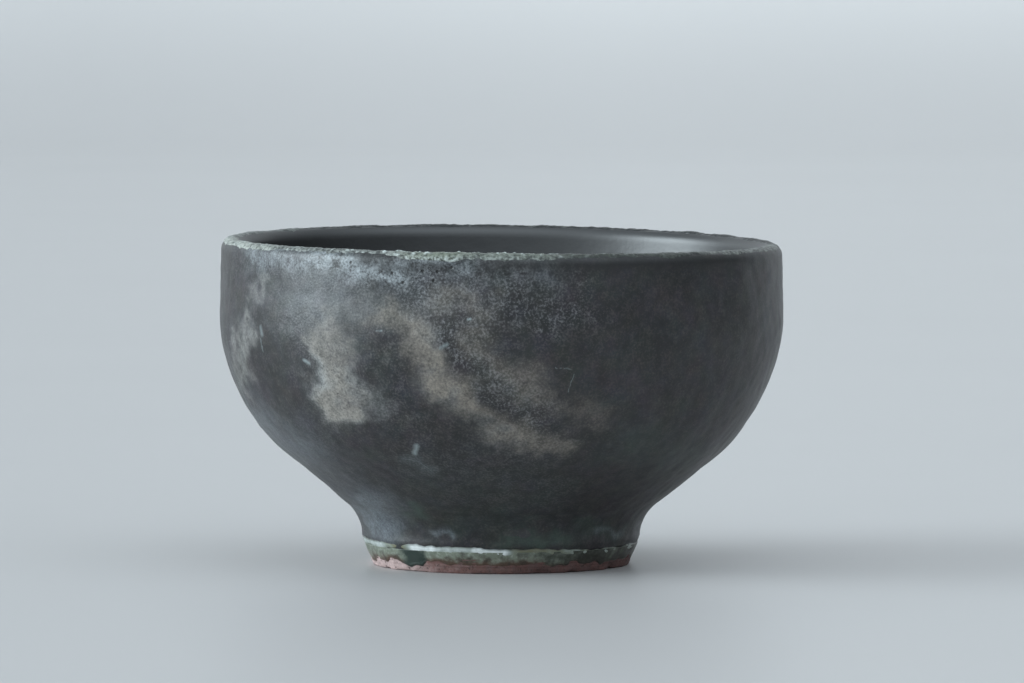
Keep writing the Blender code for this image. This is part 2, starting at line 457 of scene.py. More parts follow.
class Node(Enum):
    """The nodes that finishes are mixed from: type, sockets to fill, output to hand on and settings."""

    PLACE = ("TexCoord", (), "Object", {})
    WAY = ("TexCoord", (), "Generated", {})
    PAINT = ("Attribute", (), "Fac", {})
    NOISE = ("TexNoise", ("Vector", "Scale", "Detail", "Roughness"), 0, {})
    TINTS = ("TexNoise", ("Vector", "Scale", "Detail", "Roughness"), "Color", {})
    CELLS = ("TexVoronoi", ("Vector", "Scale"), 0, {})
    SIDE = ("SeparateXYZ", (0,), "X", {})
    LEVEL = ("SeparateXYZ", (0,), "Z", {})
    RANGE = ("MapRange", ("Value", "From Min", "From Max", "To Min", "To Max"), 0, {})
    EASE = (
        "MapRange", ("Value", "From Min", "From Max", "To Min", "To Max"), 0,
        {"interpolation_type": "SMOOTHSTEP"})
    MULTIPLY = ("Math", (0, 1), 0, {"operation": "MULTIPLY"})
    COVER = ("Math", (0, 1), 0, {"operation": "MULTIPLY", "use_clamp": True})
    WEIGH = ("Math", (0, 1, 2), 0, {"operation": "MULTIPLY_ADD"})
    POWER = ("Math", (0, 1), 0, {"operation": "POWER"})
    MAXIMUM = ("Math", (0, 1), 0, {"operation": "MAXIMUM"})
    ADD = ("VectorMath", (0, 1), 0, {"operation": "ADD"})
    SUBTRACT = ("VectorMath", (0, 1), 0, {"operation": "SUBTRACT"})
    SCALE = ("VectorMath", (0, "Scale"), 0, {"operation": "SCALE"})
    DOT = ("VectorMath", (0, 1), "Value", {"operation": "DOT_PRODUCT"})
    DISTANCE = ("VectorMath", (0, 1), "Value", {"operation": "DISTANCE"})
    BLEND = ("Mix", (0, 6, 7), 2, {"data_type": "RGBA"})
    SOFT_LIGHT = ("Mix", (0, 6, 7), 2, {"data_type": "RGBA", "blend_type": "SOFT_LIGHT"})
    BUMP = ("Bump", ("Height", "Distance", "Strength"), 0, {})
    SURFACE = ("BsdfPrincipled", ("Base Color", "Roughness", "IOR", "Normal"), 0, {})
    MATERIAL = ("OutputMaterial", ("Surface",), None, {})
    SKY = ("Background", ("Color", "Strength"), 0, {})
    WORLD = ("OutputWorld", ("Surface",), None, {})


class Span(NamedTuple):
    """A run from least to most, while what is read runs from low to high."""

    low: float = 0.0
    high: float = 1.0
    least: float = 0.0
    most: float = 1.0


class Layer(NamedTuple):
    """A layer of a finish: the paint that places it, its tone, and how the grains bring it out."""

    paint: str
    tone: str
    span: Span


@dataclass(frozen=True)
class Grain:
    """A field of soft spots of about one size, with finer ones in them."""

    size: float
    detail: float = 2.0
    roughness: float = 0.5

    def at(self, place: Any) -> tuple[Any, ...]:
        """What a noise node needs to read the field at a place."""
        return place, 1 / self.size, self.detail, self.roughness


class Recipe:
    """The node tree of one finish, or of the sky."""

    def __init__(self, holder: bpy.types.Material | bpy.types.World) -> None:
        """Starts an empty node tree.

        Args:
            holder: the material or the world.
        """
        self.holder = holder
        holder.use_nodes = True
        self.tree = holder.node_tree
        self.tree.nodes.clear()

    def add(self, node: Node, *values: Any, **settings: Any) -> Any:
        """Adds a node with its settings, constants and links.

        Args:
            node: which one.
            values: a constant or another node's output for each of its sockets, in their order.
            settings: properties besides those that it always has.

        Returns:
            The output that it hands on, or None for a node that has none.
        """
        kind, sockets, out, fixed = node.value
        made = self.tree.nodes.new(f"ShaderNode{kind}")
        for key, value in {**fixed, **settings}.items():
            setattr(made, key, value)
        for key, value in zip(sockets, values):
            if isinstance(value, bpy.types.NodeSocket):
                self.tree.links.new(value, made.inputs[key])
            else:
                made.inputs[key].default_value = value
        return None if out is None else made.outputs[out]

    def ground(self, paints: tuple[str, ...], *grains: Grain) -> tuple[Any, dict[str, Any], list[Any]]:
        """Reads what a finish is worked from.

        Args:
            paints: names of the painted attributes.
            grains: the fields of spots.

        Returns:
            The place on the piece, the painted amounts by name, and the fields.
        """
        place = self.add(Node.PLACE)
        painted = {name: self.add(Node.PAINT, attribute_name=name) for name in paints}
        return place, painted, [self.add(Node.NOISE, *grain.at(place)) for grain in grains]

    def dusted(self, colour: Any, tone: Any, amount: Any, grains: Any, span: Span) -> tuple[Any, Any]:
        """Lays a tone over a colour as far as it is painted, thinned out by its grains.

        Args:
            colour: what lies below.
            tone: the layer's own colour.
            amount: how much of it is painted.
            grains: the field that thins it out.
            span: how much of it the field lets through.

        Returns:
            The new colour, and how far the layer covers.
        """
        cover = self.add(Node.COVER, self.add(Node.RANGE, grains, *span), amount)
        return self.add(Node.BLEND, cover, colour, tone), cover

    def flooded(self, colour: Any, layers: tuple[Layer, ...], painted: dict[str, Any],
                fields: tuple[tuple[Any, float], ...], edge: Node) -> Any:
        """Lays layers over a colour, each where its painted amount and weighted fields add up to enough.

        Args:
            colour: what lies below.
            layers: the layers, from the lowest.
            painted: the painted amounts by name.
            fields: each field with its weight.
            edge: the range that a layer sets in by.

        Returns:
            The new colour.
        """
        for name, tone, span in layers:
            amount = painted[name]
            for field, weight in fields:
                amount = self.add(Node.WEIGH, field, weight, amount)
            colour = self.add(Node.BLEND, self.add(edge, amount, *span), colour, linear(tone))
        return colour

    def close(self, colour: Any, roughness: Any, ior: float, *bump: Any) -> bpy.types.Material:
        """Ends the recipe with a Principled surface.

        Args:
            colour: its base colour.
            roughness: its roughness.
            ior: its index of refraction.
            bump: the height, distance and strength of its bump, if it has one.

        Returns:
            The material.
        """
        normal = [self.add(Node.BUMP, *bump)] if bump else []
        self.add(Node.MATERIAL, self.add(Node.SURFACE, colour, roughness, ior, *normal))
        return self.holder


@dataclass(frozen=True)
class Mark:
    """A scratch, chip or crackle line on the wall, from one place to another, in millimetres."""

    start: Pair
    end: Pair
    half_width: float
    strength: float


@dataclass(frozen=True)
class CharcoalGlaze:
    """Iron stoneware glaze, dipped and reduction fired: satin black, clouded by ash and finely grained."""

    dark: str = "#0C0C0D"
    slate: str = "#262529"
    warm_grain: str = "#6C635B"
    cool_grain: str = "#A5A6A9"
    tan: str = "#989085"
    ash: str = "#A8ACAC"
    haze: str = "#868F95"
    frost_and_highlight: str = "#B4BCC0"
    copper: str = "#3A5347"
    scar: str = "#98A3A4"
    black: str = "#050505"
    mottle: Grain = Grain(7.0 * MM, 5.0, 0.65)
    iron: Grain = Grain(3.0 * MM, 3.0)
    flecks: Grain = Grain(1.3 * MM, 4.0, 0.65)
    freckles: Grain = Grain(0.75 * MM, 1.0, 0.65)
    grain: Grain = Grain(0.28 * MM, 2.0, 0.65)  # real grains are about 0.1 mm, drawn coarser to show
    shake: Grain = Grain(0.75 * MM)
    shake_middle: tuple[float, float, float] = (0.5, 0.5, 0.5)
    jitter: float = 0.5 * MM  # how far the shake makes the outlines of scars wander
    fleck_share: float = 0.8  # what flecks count for in the mottle and in the relief
    iron_share: float = 0.7
    clumping: Pair = (0.5, 1.0)  # what flecks count for in fine and in broad clumps of grains
    body: Span = Span(0.72, 1.1)
    shine: Span = Span(0.72, 1.06)
    silvering: Span = Span(least=0.28, most=0.70)
    freckling: Span = Span(0.62, 0.74, 1.0, 0.55)
    hazing: Span = Span(0.50, 0.95, 0.3)
    clouding: Span = Span(0.70, 1.28, 0.38, 1.36)
    frost_and_highlight_span: Span = Span(0.74, 1.40, 0.0, 1.25)
    drying: Span = Span(least=0.42, most=0.68)
    coarsening: Span = Span(least=0.2)
    pit_spacing: float = 1.3 * MM
    pit: Span = Span(0.13, 0.078)  # from a small pit's edge to its flat middle, as shares of the spacing
    pinhole: Span = Span(0.24 * MM, 0.12 * MM)  # the same for a large one
    pit_depth: float = -2.0  # against the height of the grains
    relief: float = 0.10 * MM
    ior: float = 1.63

    def build(self, scars: list[tuple[np.ndarray, Mark]], pinholes: np.ndarray) -> bpy.types.Material:
        """Mixes the finish: body, then grains, haze, clouds, frost, copper blush, painted shade, scars and
        pits.

        Args:
            scars: the ends of each mark on the wall, with the mark.
            pinholes: the places of the larger pinholes.

        Returns:
            The material.
        """
        mix = Recipe(bpy.data.materials.new("charcoal_stoneware_glaze"))
        place, painted, (mottle, flecks, freckles, grain) = mix.ground(
            ("cloud", "warm", "dust", "haze", "frost_and_highlight", "blush", "shade", "pitted"),
            self.mottle, self.flecks, self.freckles, self.grain)
        dust = painted["dust"]

        # The body wavers between near black and slate, its iron faintly green, violet or brown by place, with
        # fine grains that are brown, but silvery where ash fell; the silvery grains also stand for glints of
        # the sheen, as painted highlight.
        patch = mix.add(Node.RANGE, mix.add(Node.WEIGH, flecks, self.fleck_share, mottle), *self.body)
        colour = mix.add(Node.BLEND, patch, linear(self.dark), linear(self.slate))
        iron = mix.add(Node.TINTS, *self.iron.at(place))
        colour = mix.add(Node.SOFT_LIGHT, self.iron_share, colour, iron)
        clump, blot = (mix.add(Node.WEIGH, flecks, weight, grain) for weight in self.clumping)
        shine = mix.add(Node.RANGE, clump, *self.shine)
        share = mix.add(Node.RANGE, dust, *self.silvering)
        silvery_grain_and_glint = mix.add(Node.BLEND, dust, linear(self.warm_grain), linear(self.cool_grain))
        colour = mix.add(Node.BLEND, mix.add(Node.MULTIPLY, shine, share), colour, silvery_grain_and_glint)

        # Haze is a thin even bloom, clouds of fired ash are grey or tan with dark freckles, and frost is a
        # scatter of silvery crystals below the lip, laid on as painted highlight at the upper left and on the
        # lip's shoulder: each is painted, and thinned out by its own grains.
        ash = mix.add(Node.BLEND, painted["warm"], linear(self.ash), linear(self.tan))
        dots = mix.add(Node.RANGE, freckles, *self.freckling)
        dusty = mix.add(Node.MULTIPLY, painted["cloud"], dots)
        colour, _ = mix.dusted(colour, linear(self.haze), painted["haze"], clump, self.hazing)
        colour, ashen = mix.dusted(colour, ash, dusty, blot, self.clouding)
        colour, _ = mix.dusted(colour, linear(self.frost_and_highlight), painted["frost_and_highlight"], blot, self.frost_and_highlight_span)

        # Scars are pale flaws: the distance from a jittered place to a segment, against its half width.
        shake = mix.add(Node.SUBTRACT, mix.add(Node.TINTS, *self.shake.at(place)), self.shake_middle)
        loose = mix.add(Node.ADD, place, mix.add(Node.SCALE, shake, self.jitter))
        scarred = 0.0
        for (start, end), mark in scars:
            run = end - start
            away = mix.add(Node.SUBTRACT, loose, tuple(start))
            along = mix.add(Node.COVER, mix.add(Node.DOT, away, tuple(run / (run @ run))), 1.0)
            gap = mix.add(Node.DISTANCE, away, mix.add(Node.SCALE, tuple(run), along))
            line = mix.add(Node.RANGE, gap, mark.half_width * MM, 0.0, 0.0, mark.strength)
            scarred = mix.add(Node.MAXIMUM, scarred, line)

        # Pinholes are round pits where gas broke through: a field of small ones, and larger ones by place.
        near = mix.add(Node.CELLS, place, 1 / self.pit_spacing)
        hole = mix.add(Node.MULTIPLY, mix.add(Node.RANGE, near, *self.pit), painted["pitted"])
        for centre in pinholes:
            gap = mix.add(Node.DISTANCE, place, tuple(centre))
            hole = mix.add(Node.MAXIMUM, hole, mix.add(Node.RANGE, gap, *self.pinhole))

        # Copper blushes green in thin places, and a band under the lip is darkened as painted shade.
        blush = mix.add(Node.COVER, flecks, painted["blush"])
        under_lip_shade = painted["shade"]
        covers = ((blush, self.copper), (under_lip_shade, self.black), (scarred, self.scar), (hole, self.black))
        for cover, tone in covers:
            colour = mix.add(Node.BLEND, cover, colour, linear(tone))

        # Ash is drier than bare glaze, and grains stand a little proud.
        dry = mix.add(Node.RANGE, ashen, *self.drying)
        height = mix.add(Node.WEIGH, flecks, self.fleck_share, grain)
        height = mix.add(Node.WEIGH, hole, self.pit_depth, height)
        return mix.close(
            colour, dry, self.ior, height, self.relief, mix.add(Node.RANGE, dust, *self.coarsening))


@dataclass(frozen=True)
class LinerGlaze:
    """The same iron glaze poured thicker inside: darker and smoother, with a broad satin sheen."""

    dark: str = "#101012"
    slate: str = "#1A1A1C"
    mottle: Grain = Grain(6.0 * MM, 4.0, 0.6)
    grain: Grain = Grain(0.5 * MM)
    patch: Span = Span(0.35, 0.68)
    satin: Span = Span(least=0.40, most=0.46)
    relief: float = 0.03 * MM
    bump: float = 0.5
    ior: float = 2.0

    def build(self) -> bpy.types.Material:
        """Mixes two dark tones by a soft mottle, with a faint orange-peel relief.

        Returns:
            The material.
        """
        mix = Recipe(bpy.data.materials.new("dark_liner_glaze"))
        _, _, (mottle, grain) = mix.ground((), self.mottle, self.grain)
        patch = mix.add(Node.RANGE, mottle, *self.patch)
        colour = mix.add(Node.BLEND, patch, linear(self.dark), linear(self.slate))
        rough = mix.add(Node.RANGE, mottle, *self.satin)
        return mix.close(colour, rough, self.ior, grain, self.relief, self.bump)


@dataclass(frozen=True)
class LipGlaze:
    """Glaze that ran off the lip: charcoal where it left, olive where it gathered, with pale fired crumbs."""

    charcoal: str = "#1C1E1E"
    layers: tuple[Layer, ...] = (
        Layer("dust", "#7C8484", Span(0.72, 1.1, 0.1)),  # grey
        Layer("run", "#5A6450", Span(0.58, 0.98, 0.1, 1.4)),  # olive
        Layer("pale", "#AFB2AA", Span(0.66, 1.05, 0.1, 1.3)),  # pale green
        Layer("bead", "#CBD3CF", Span(0.80, 1.0)),  # white
        Layer("crumb", "#CBD3CF", Span(0.6, 0.9, 0.4, 1.3)),  # white
    )
    patch: Grain = Grain(1.4 * MM, 4.0, 0.65)
    grain: Grain = Grain(0.40 * MM)
    patch_share: float = 0.7
    roughness: float = 0.42
    relief: float = 0.16 * MM
    bump: float = 1.0
    ior: float = 1.6

    def build(self) -> bpy.types.Material:
        """Lays grey grains, olive, pale green and white crumbs over charcoal, each as painted and grained.

        Returns:
            The material.
        """
        mix = Recipe(bpy.data.materials.new("thin_green_lip_glaze"))
        _, painted, (patch, grain) = mix.ground(
            ("dust", "run", "pale", "crumb", "bead"), self.patch, self.grain)
        clump = mix.add(Node.WEIGH, patch, self.patch_share, grain)
        colour = linear(self.charcoal)
        for name, tone, span in self.layers:
            colour, _ = mix.dusted(colour, linear(tone), painted[name], clump, span)
        return mix.close(colour, self.roughness, self.ior, clump, self.relief, self.bump)


@dataclass(frozen=True)
class PooledGlaze:
    """Glaze that pooled on the foot and crystallised white where it is thick, olive where it is thin."""

    olive: str = "#77755C"
    layers: tuple[Layer, ...] = (
        Layer("pale", "#8A958D", Span(0.35, 0.95)),  # green
        Layer("pale", "#E6EBEA", Span(0.62, 1.35)),  # white
        Layer("top", "#2B2D2C", Span(0.50, 1.35)),  # charcoal
    )
    patch: Grain = Grain(1.0 * MM, 4.0, 0.65)
    grain: Grain = Grain(0.40 * MM, 1.0)
    weights: Pair = (0.5, 0.15)  # how far patches and grains shift the edge of a layer
    patch_share: float = 1.5
    roughness: float = 0.34
    relief: float = 0.06 * MM
    bump: float = 0.7
    ior: float = 1.52

    def build(self) -> bpy.types.Material:
        """Runs from olive through green to white by the painted thickness, and to charcoal along its top.

        Returns:
            The material.
        """
        mix = Recipe(bpy.data.materials.new("pooled_crystalline_glaze"))
        _, painted, (patch, grain) = mix.ground(("pale", "top"), self.patch, self.grain)
        shifts = tuple(zip((patch, grain), self.weights))
        colour = mix.flooded(linear(self.olive), self.layers, painted, shifts, Node.EASE)
        height = mix.add(Node.WEIGH, patch, self.patch_share, grain)
        return mix.close(colour, self.roughness, self.ior, height, self.relief, self.bump)


@dataclass(frozen=True)
class OliveGlaze:
    """The last thin run of glaze above the bare clay: olive, flecked pale, and bottle green in its drips."""

    olive: str = "#808778"
    pale: str = "#B2B9AD"
    layers: tuple[Layer, ...] = (
        Layer("thin", "#5C4538", Span(0.85, 1.5)),  # brown
        Layer("deep", "#26352F", Span(0.72, 1.5)),  # bottle green
        # painted shade towards the right of the run
        Layer("run_painted_shade", "#2E2D26", Span(0.80, 1.8)),
    )
    patch: Grain = Grain(1.5 * MM, 4.0, 0.65)
    grain: Grain = Grain(0.45 * MM)
    weights: Pair = (1.4, 0.3)  # how far patches and grains shift the edge of a layer
    flecking: Span = Span(0.46, 0.74, 0.0, 0.75)
    roughness: float = 0.38
    relief: float = 0.06 * MM
    bump: float = 0.7
    ior: float = 1.52

    def build(self) -> bpy.types.Material:
        """Flecks olive with pale grains, lets brown clay through its thin hem, and adds drips and painted
        shade.

        Returns:
            The material.
        """
        mix = Recipe(bpy.data.materials.new("olive_glaze_run"))
        _, painted, (patch, grain) = mix.ground(("thin", "deep", "run_painted_shade"), self.patch, self.grain)
        fleck = mix.add(Node.RANGE, grain, *self.flecking)
        colour = mix.add(Node.BLEND, fleck, linear(self.olive), linear(self.pale))
        shifts = tuple(zip((patch, grain), self.weights))
        colour = mix.flooded(colour, self.layers, painted, shifts, Node.EASE)
        return mix.close(colour, self.roughness, self.ior, patch, self.relief, self.bump)


@dataclass(frozen=True)
class IronStoneware:
    """Bare iron-bearing stoneware: dry and pinkish red brown, with darker grog, and painted light and shade.
    """

    rust: str = "#82605A"
    grog: str = "#3B2F2C"
    # the rose layer is painted light on the left of the ring, and the dark layer painted shade on its right
    layers: tuple[Layer, ...] = (
        Layer("clay_painted_light", "#CBB2AE", Span(0.85, 1.75)),  # rose
        Layer("clay_painted_shade", "#4A3431", Span(0.75, 1.85, 0.0, 0.85)),  # soot
    )
    patch: Grain = Grain(1.1 * MM, 5.0, 0.65)
    grain: Grain = Grain(0.4 * MM, 3.0, 0.7)
    patch_share: float = 1.8
    specks: Span = Span(0.46, 0.32, 0.0, 0.8)
    roughness: float = 0.86
    relief: float = 0.08 * MM
    bump: float = 0.9
    ior: float = 1.5

    def build(self) -> bpy.types.Material:
        """Lays rose painted light and dark painted shade over rust by a mottle, with dark grog specks and a
        gritty relief.

        Returns:
            The material.
        """
        mix = Recipe(bpy.data.materials.new("bare_iron_stoneware"))
        _, painted, (patch, grain) = mix.ground(("clay_painted_shade", "clay_painted_light"), self.patch, self.grain)
        shifts = ((patch, self.patch_share),)
        colour = mix.flooded(linear(self.rust), self.layers, painted, shifts, Node.RANGE)
        speck = mix.add(Node.RANGE, grain, *self.specks)
        colour = mix.add(Node.BLEND, speck, colour, linear(self.grog))
        return mix.close(colour, self.roughness, self.ior, grain, self.relief, self.bump)


@dataclass(frozen=True)
class PaintedTop:
    """A painted table top and backdrop: pale grey, matt, paler where it sweeps up, with painted shade to the
    left.
    """

    table: str = "#CBC8C7"
    backdrop: str = "#ECE9E7"
    left_shade: str = "#B4B2B2"
    rising: Span = Span(0.002, 0.06)  # heights between which the table's tone gives way
    left_shading: Span = Span(0.03, -0.11, 0.0, 0.34)  # from the cup's axis to the left
    patch: Grain = Grain(90.0 * MM, 3.0)
    matt: Span = Span(least=0.40, most=0.48)
    ior: float = 1.5

    def build(self) -> bpy.types.Material:
        """Blends two pale tones by height, darkens them leftwards as painted shade, and varies the sheen very
        slightly.

        Returns:
            The material.
        """
        mix = Recipe(bpy.data.materials.new("matt_paint"))
        place, _, (patch,) = mix.ground((), self.patch)
        share = mix.add(Node.EASE, mix.add(Node.LEVEL, place), *self.rising)
        colour = mix.add(Node.BLEND, share, linear(self.table), linear(self.backdrop))
        left_shade = mix.add(Node.RANGE, mix.add(Node.SIDE, place), *self.left_shading)
        colour = mix.add(Node.BLEND, left_shade, colour, linear(self.left_shade))
        return mix.close(colour, mix.add(Node.RANGE, patch, *self.matt), self.ior)


def dress(piece: Piece, finish: bpy.types.Material, nodes: tuple[str, ...]) -> None:
    """Gives a piece its finish, ties it to the cup and says which solids it stands for.

    Args:
        piece: the piece.
        finish: its material.
        nodes: the solids that it replaces.
    """
    piece.data.materials.append(finish)
    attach(piece, BODY)
    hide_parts(*nodes)
    LOG.info("%s: %d vertices, for %s", piece.name, len(piece.data.vertices), ", ".join(nodes))


@dataclass
class CupPiece:
    """A sub-assembly of the cup, worked from the wall's section and the hand-thrown warp."""

    section: CupSection
    warp: ThrownWarp
    columns: int = 480

    @property
    def turns(self) -> np.ndarray:
        """Angles in equal steps round the axis, one per column."""
        return np.linspace(0, 2 * math.pi, self.columns, endpoint=False)

    def grid(self, radius: np.ndarray, level: np.ndarray) -> np.ndarray:
        """Carries a section round the axis: (r cos t, r sin t, z) for t in equal steps.

        Args:
            radius: radii by row, or by row and column.
            level: heights in the same form.

        Returns:
            Places by row and column.
        """
        radius = np.broadcast_to(radius.reshape(len(radius), -1), (len(radius), self.columns))
        level = np.broadcast_to(level.reshape(len(level), -1), radius.shape)
        return np.stack([radius * np.cos(self.turns), radius * np.sin(self.turns), level], -1)

    def turned(self, line: np.ndarray) -> np.ndarray:
        """Carries a line of radii and heights round the axis."""
        return self.grid(line[:, 0], line[:, 1])

    def hoop(self, radius: float, level: float) -> np.ndarray:
        """Places round the axis at one radius and height."""
        return self.turned(np.array([[radius, level]]))[0]

    def pushed_out(self, line: np.ndarray, relief: np.ndarray) -> np.ndarray:
        """Carries a line round the axis and moves each place outwards: along its run, turned by a quarter.

        Args:
            line: radii and heights by row, running down its outer side.
            relief: distances by row and column.

        Returns:
            Places by row and column.
        """
        run = np.gradient(line, axis=0)
        run /= np.maximum(np.linalg.norm(run, axis=1, keepdims=True), np.finfo(float).tiny)
        return self.grid(line[:, :1] - relief * run[:, 1:], line[:, 1:] + relief * run[:, :1])

    def close(self, name: str, *grids: np.ndarray, poles: bool = False) -> Piece:
        """Stacks grids row upon row, warps them as the whole cup is warped and closes them into one piece."""
        return wrapped_mesh(name, self.warp.bend(np.vstack(grids)), poles)


@dataclass
class OuterCoat(CupPiece):
    """The charcoal coat outside, from under the lip glaze to behind the glaze roll."""

    columns: int = 640
    face_rows: int = 136
    back_rows: int = 10
    thickness: float = 0.45 * MM
    lip_turn: float = math.radians(30)
    end_level: float = 2.7 * MM
    calm_reach: float = 3.0 * MM  # the peel grows from nothing over this length below the lip
    peel: Ripples = (
        Ripple(9.0 * MM, 0.035 * MM, seed=11),
        Ripple(2.6 * MM, 0.016 * MM, seed=12),
        Ripple(1.3 * MM, 0.006 * MM, seed=13),
    )
    clouds: Strokes = drawn(
        (1.6, 0.53, -13.2, 32.8, -11.2, 32.5, -9.5, 30.3),
        (1.4, 0.46, -9.5, 30.3, -8.8, 27.9),
        (1.7, 0.66, -8.8, 27.1, -7.2, 25.0),
        (1.5, 0.62, -6.8, 24.4, -4.2, 23.2),
        (1.3, 0.45, -4.9, 22.0, -3.0, 21.6),
        (1.2, 0.42, -2.3, 20.0, -1.1, 19.5),
        (1.4, 0.54, -0.1, 18.4, 2.3, 18.7),
        (1.2, 0.47, 2.3, 17.7, 7.2, 16.8),
        (1.4, 0.32, -3.7, 30.1, -1.9, 28.5),
        (2.0, 0.38, 0.2, 26.3, 4.2, 23.7),
        (1.4, 0.20, 6.0, 21.7, 12.1, 20.6),
        (2.1, 0.36, -7.4, 34.9, -3.0, 34.4),
        (1.4, 0.22, -19.4, 33.6, -17.2, 33.4, -15.2, 33.0),
        (1.2, 0.28, -21.6, 33.2, -20.9, 30.5),
        (0.9, 0.42, -22.1, 31.2, -22.1, 27.6),
        (1.0, 0.80, -22.1, 27.0, -22.2, 24.0, -21.5, 21.9),
        (1.9, 0.46, -20.7, 29.7, -20.4, 26.6),
        (2.0, 0.84, -20.4, 26.0, -19.8, 21.7),
        (1.3, 0.42, -18.5, 26.3, -17.7, 23.3),
        (0.9, 0.65, -20.9, 20.9, -18.2, 20.5),
        (1.5, 0.25, -16.6, 21.8, -13.8, 21.1),
        (0.8, 0.36, -29.7, 37.2, -29.8, 34.0),
        (1.0, 0.45, -31.4, 31.9, -31.8, 28.1),
        (1.0, 0.32, -32.5, 26.7, -31.9, 22.8),
    )
    guessed_clouds: Strokes = drawn(
        (2.4, 0.75, -20.0, 31.0, -14.0, 26.0, -8.0, 24.0),
        (2.0, 0.6, 2.0, 33.0, 6.0, 28.0, 13.0, 25.0),
        (1.8, 0.5, -12.0, 18.0, -4.0, 16.0),
        facing=Facing.BACK,
    ) + drawn(
        (2.0, 0.5, 6.0, 33.0, 9.0, 29.0, 16.0, 26.0),
        (1.8, 0.5, 8.0, 21.0, 14.0, 18.0),
        facing=Facing.RIGHT,
    ) + drawn((2.0, 0.7, -18.0, 34.0, -12.0, 28.0, -8.0, 22.0), facing=Facing.LEFT)
    warms: Strokes = drawn(
        (3.2, 1.0, -13.2, 32.4, -8.8, 27.5, -3.0, 21.6, 2.0, 18.6, 7.2, 16.8),
        (3.0, 1.0, -3.7, 30.1, 4.2, 23.7, 12.1, 20.6),
        (3.0, 0.9, -7.4, 34.9, -3.0, 34.4),
        (3.2, 0.8, -20.6, 32.0, -19.6, 21.5),
        (2.0, 0.5, -29.7, 37.2, -31.6, 30.0, -32.2, 23.0),
    ) + drawn(
        (14.0, 0.8, -20.0, 28.0, 20.0, 26.0), facing=Facing.BACK,
    ) + drawn((12.0, 0.8, 6.0, 30.0, 16.0, 22.0), facing=Facing.RIGHT)
    # silvery grains where ash fell, which also stand for glints of the sheen as painted highlight
    dusts: Strokes = drawn(
        (3.0, 0.22, -34.0, 37.0, -20.0, 37.4, -10.0, 36.8),
        (4.0, 0.8, -10.0, 36.5, 0.0, 35.0, 8.0, 34.0),
        (3.2, 0.85, -7.0, 32.0, -1.0, 25.0, 4.0, 20.0),
        (4.0, 0.4, -24.0, 32.0, -20.0, 22.0),
        (5.0, 0.25, -10.0, 16.0, 4.0, 12.0),
        (3.0, 0.3, -14.0, 30.0, -12.0, 22.0),
    ) + drawn(
        (8.0, 0.6, -24.0, 34.0, 20.0, 28.0), facing=Facing.BACK,
    ) + drawn((7.0, 0.6, -20.0, 34.0, 6.0, 26.0), facing=Facing.LEFT)
    hazes: Strokes = drawn(
        (1.8, 0.7, -16.6, 8.4, -15.4, 6.4, -14.2, 5.0),
        (1.8, 0.3, -14.9, 9.1, -12.7, 6.5),
        (0.45, 0.55, -8.9, 4.4, -8.1, 5.2, -7.0, 5.3, -6.1, 4.5),
        (0.4, 0.4, 12.0, 4.6, 13.0, 5.1, 14.7, 4.7),
        (0.7, 0.28, -12.1, 15.0, -10.1, 14.6, -8.4, 13.1),
        (2.5, 0.38, -30.0, 18.5, -24.8, 14.6),
        (3.0, 0.18, -24.0, 16.5, -18.5, 9.5),
        (4.0, 0.04, -8.0, 14.5, 5.0, 12.5),
        (2.0, 0.2, -24.2, 34.6, -20.8, 33.2),
        (1.8, 0.08, -19.6, 34.6, -7.4, 35.4),
    ) + drawn((2.0, 0.5, -10.0, 6.0, 12.0, 7.0), facing=Facing.BACK)
    # frost crystals below the lip, and painted highlight where the sheen falls at the upper left and on the
    # shoulder
    frost_and_highlight_strokes: Strokes = drawn(
        (1.4, 0.5, -30.6, 39.5, -22.0, 39.4),
        (1.4, 0.55, -22.0, 39.5, -18.3, 39.0),
        (1.2, 0.66, -18.8, 39.3, -16.9, 38.2),
        (1.1, 0.8, -15.1, 38.7, -12.7, 38.2),
        (0.9, 0.4, -12.2, 39.2, -4.0, 39.0),
        (2.0, 0.18, -22.0, 38.2, -8.0, 37.6),
        (1.8, 0.2, -4.0, 38.6, 6.0, 38.2),
    ) + drawn((1.2, 0.6, 12.0, 39.0, 26.0, 38.6), facing=Facing.BACK)
    blushes: Strokes = drawn(
        (1.2, 1.0, -11.2, 8.4, -10.2, 7.4),
        (1.0, 0.9, 1.0, 4.2, 7.6, 4.6),
        (2.0, 0.3, -6.0, 6.0, 2.0, 7.5),
        (1.2, 0.5, 10.0, 6.0, 14.0, 4.6),
        (3.0, 0.15, -9.0, 12.0, 6.0, 10.0),
        (3.0, 0.4, 16.0, 17.0, 22.0, 15.0),
    ) + drawn((2.0, 0.7, -14.0, 9.0, 10.0, 7.0), facing=Facing.BACK)
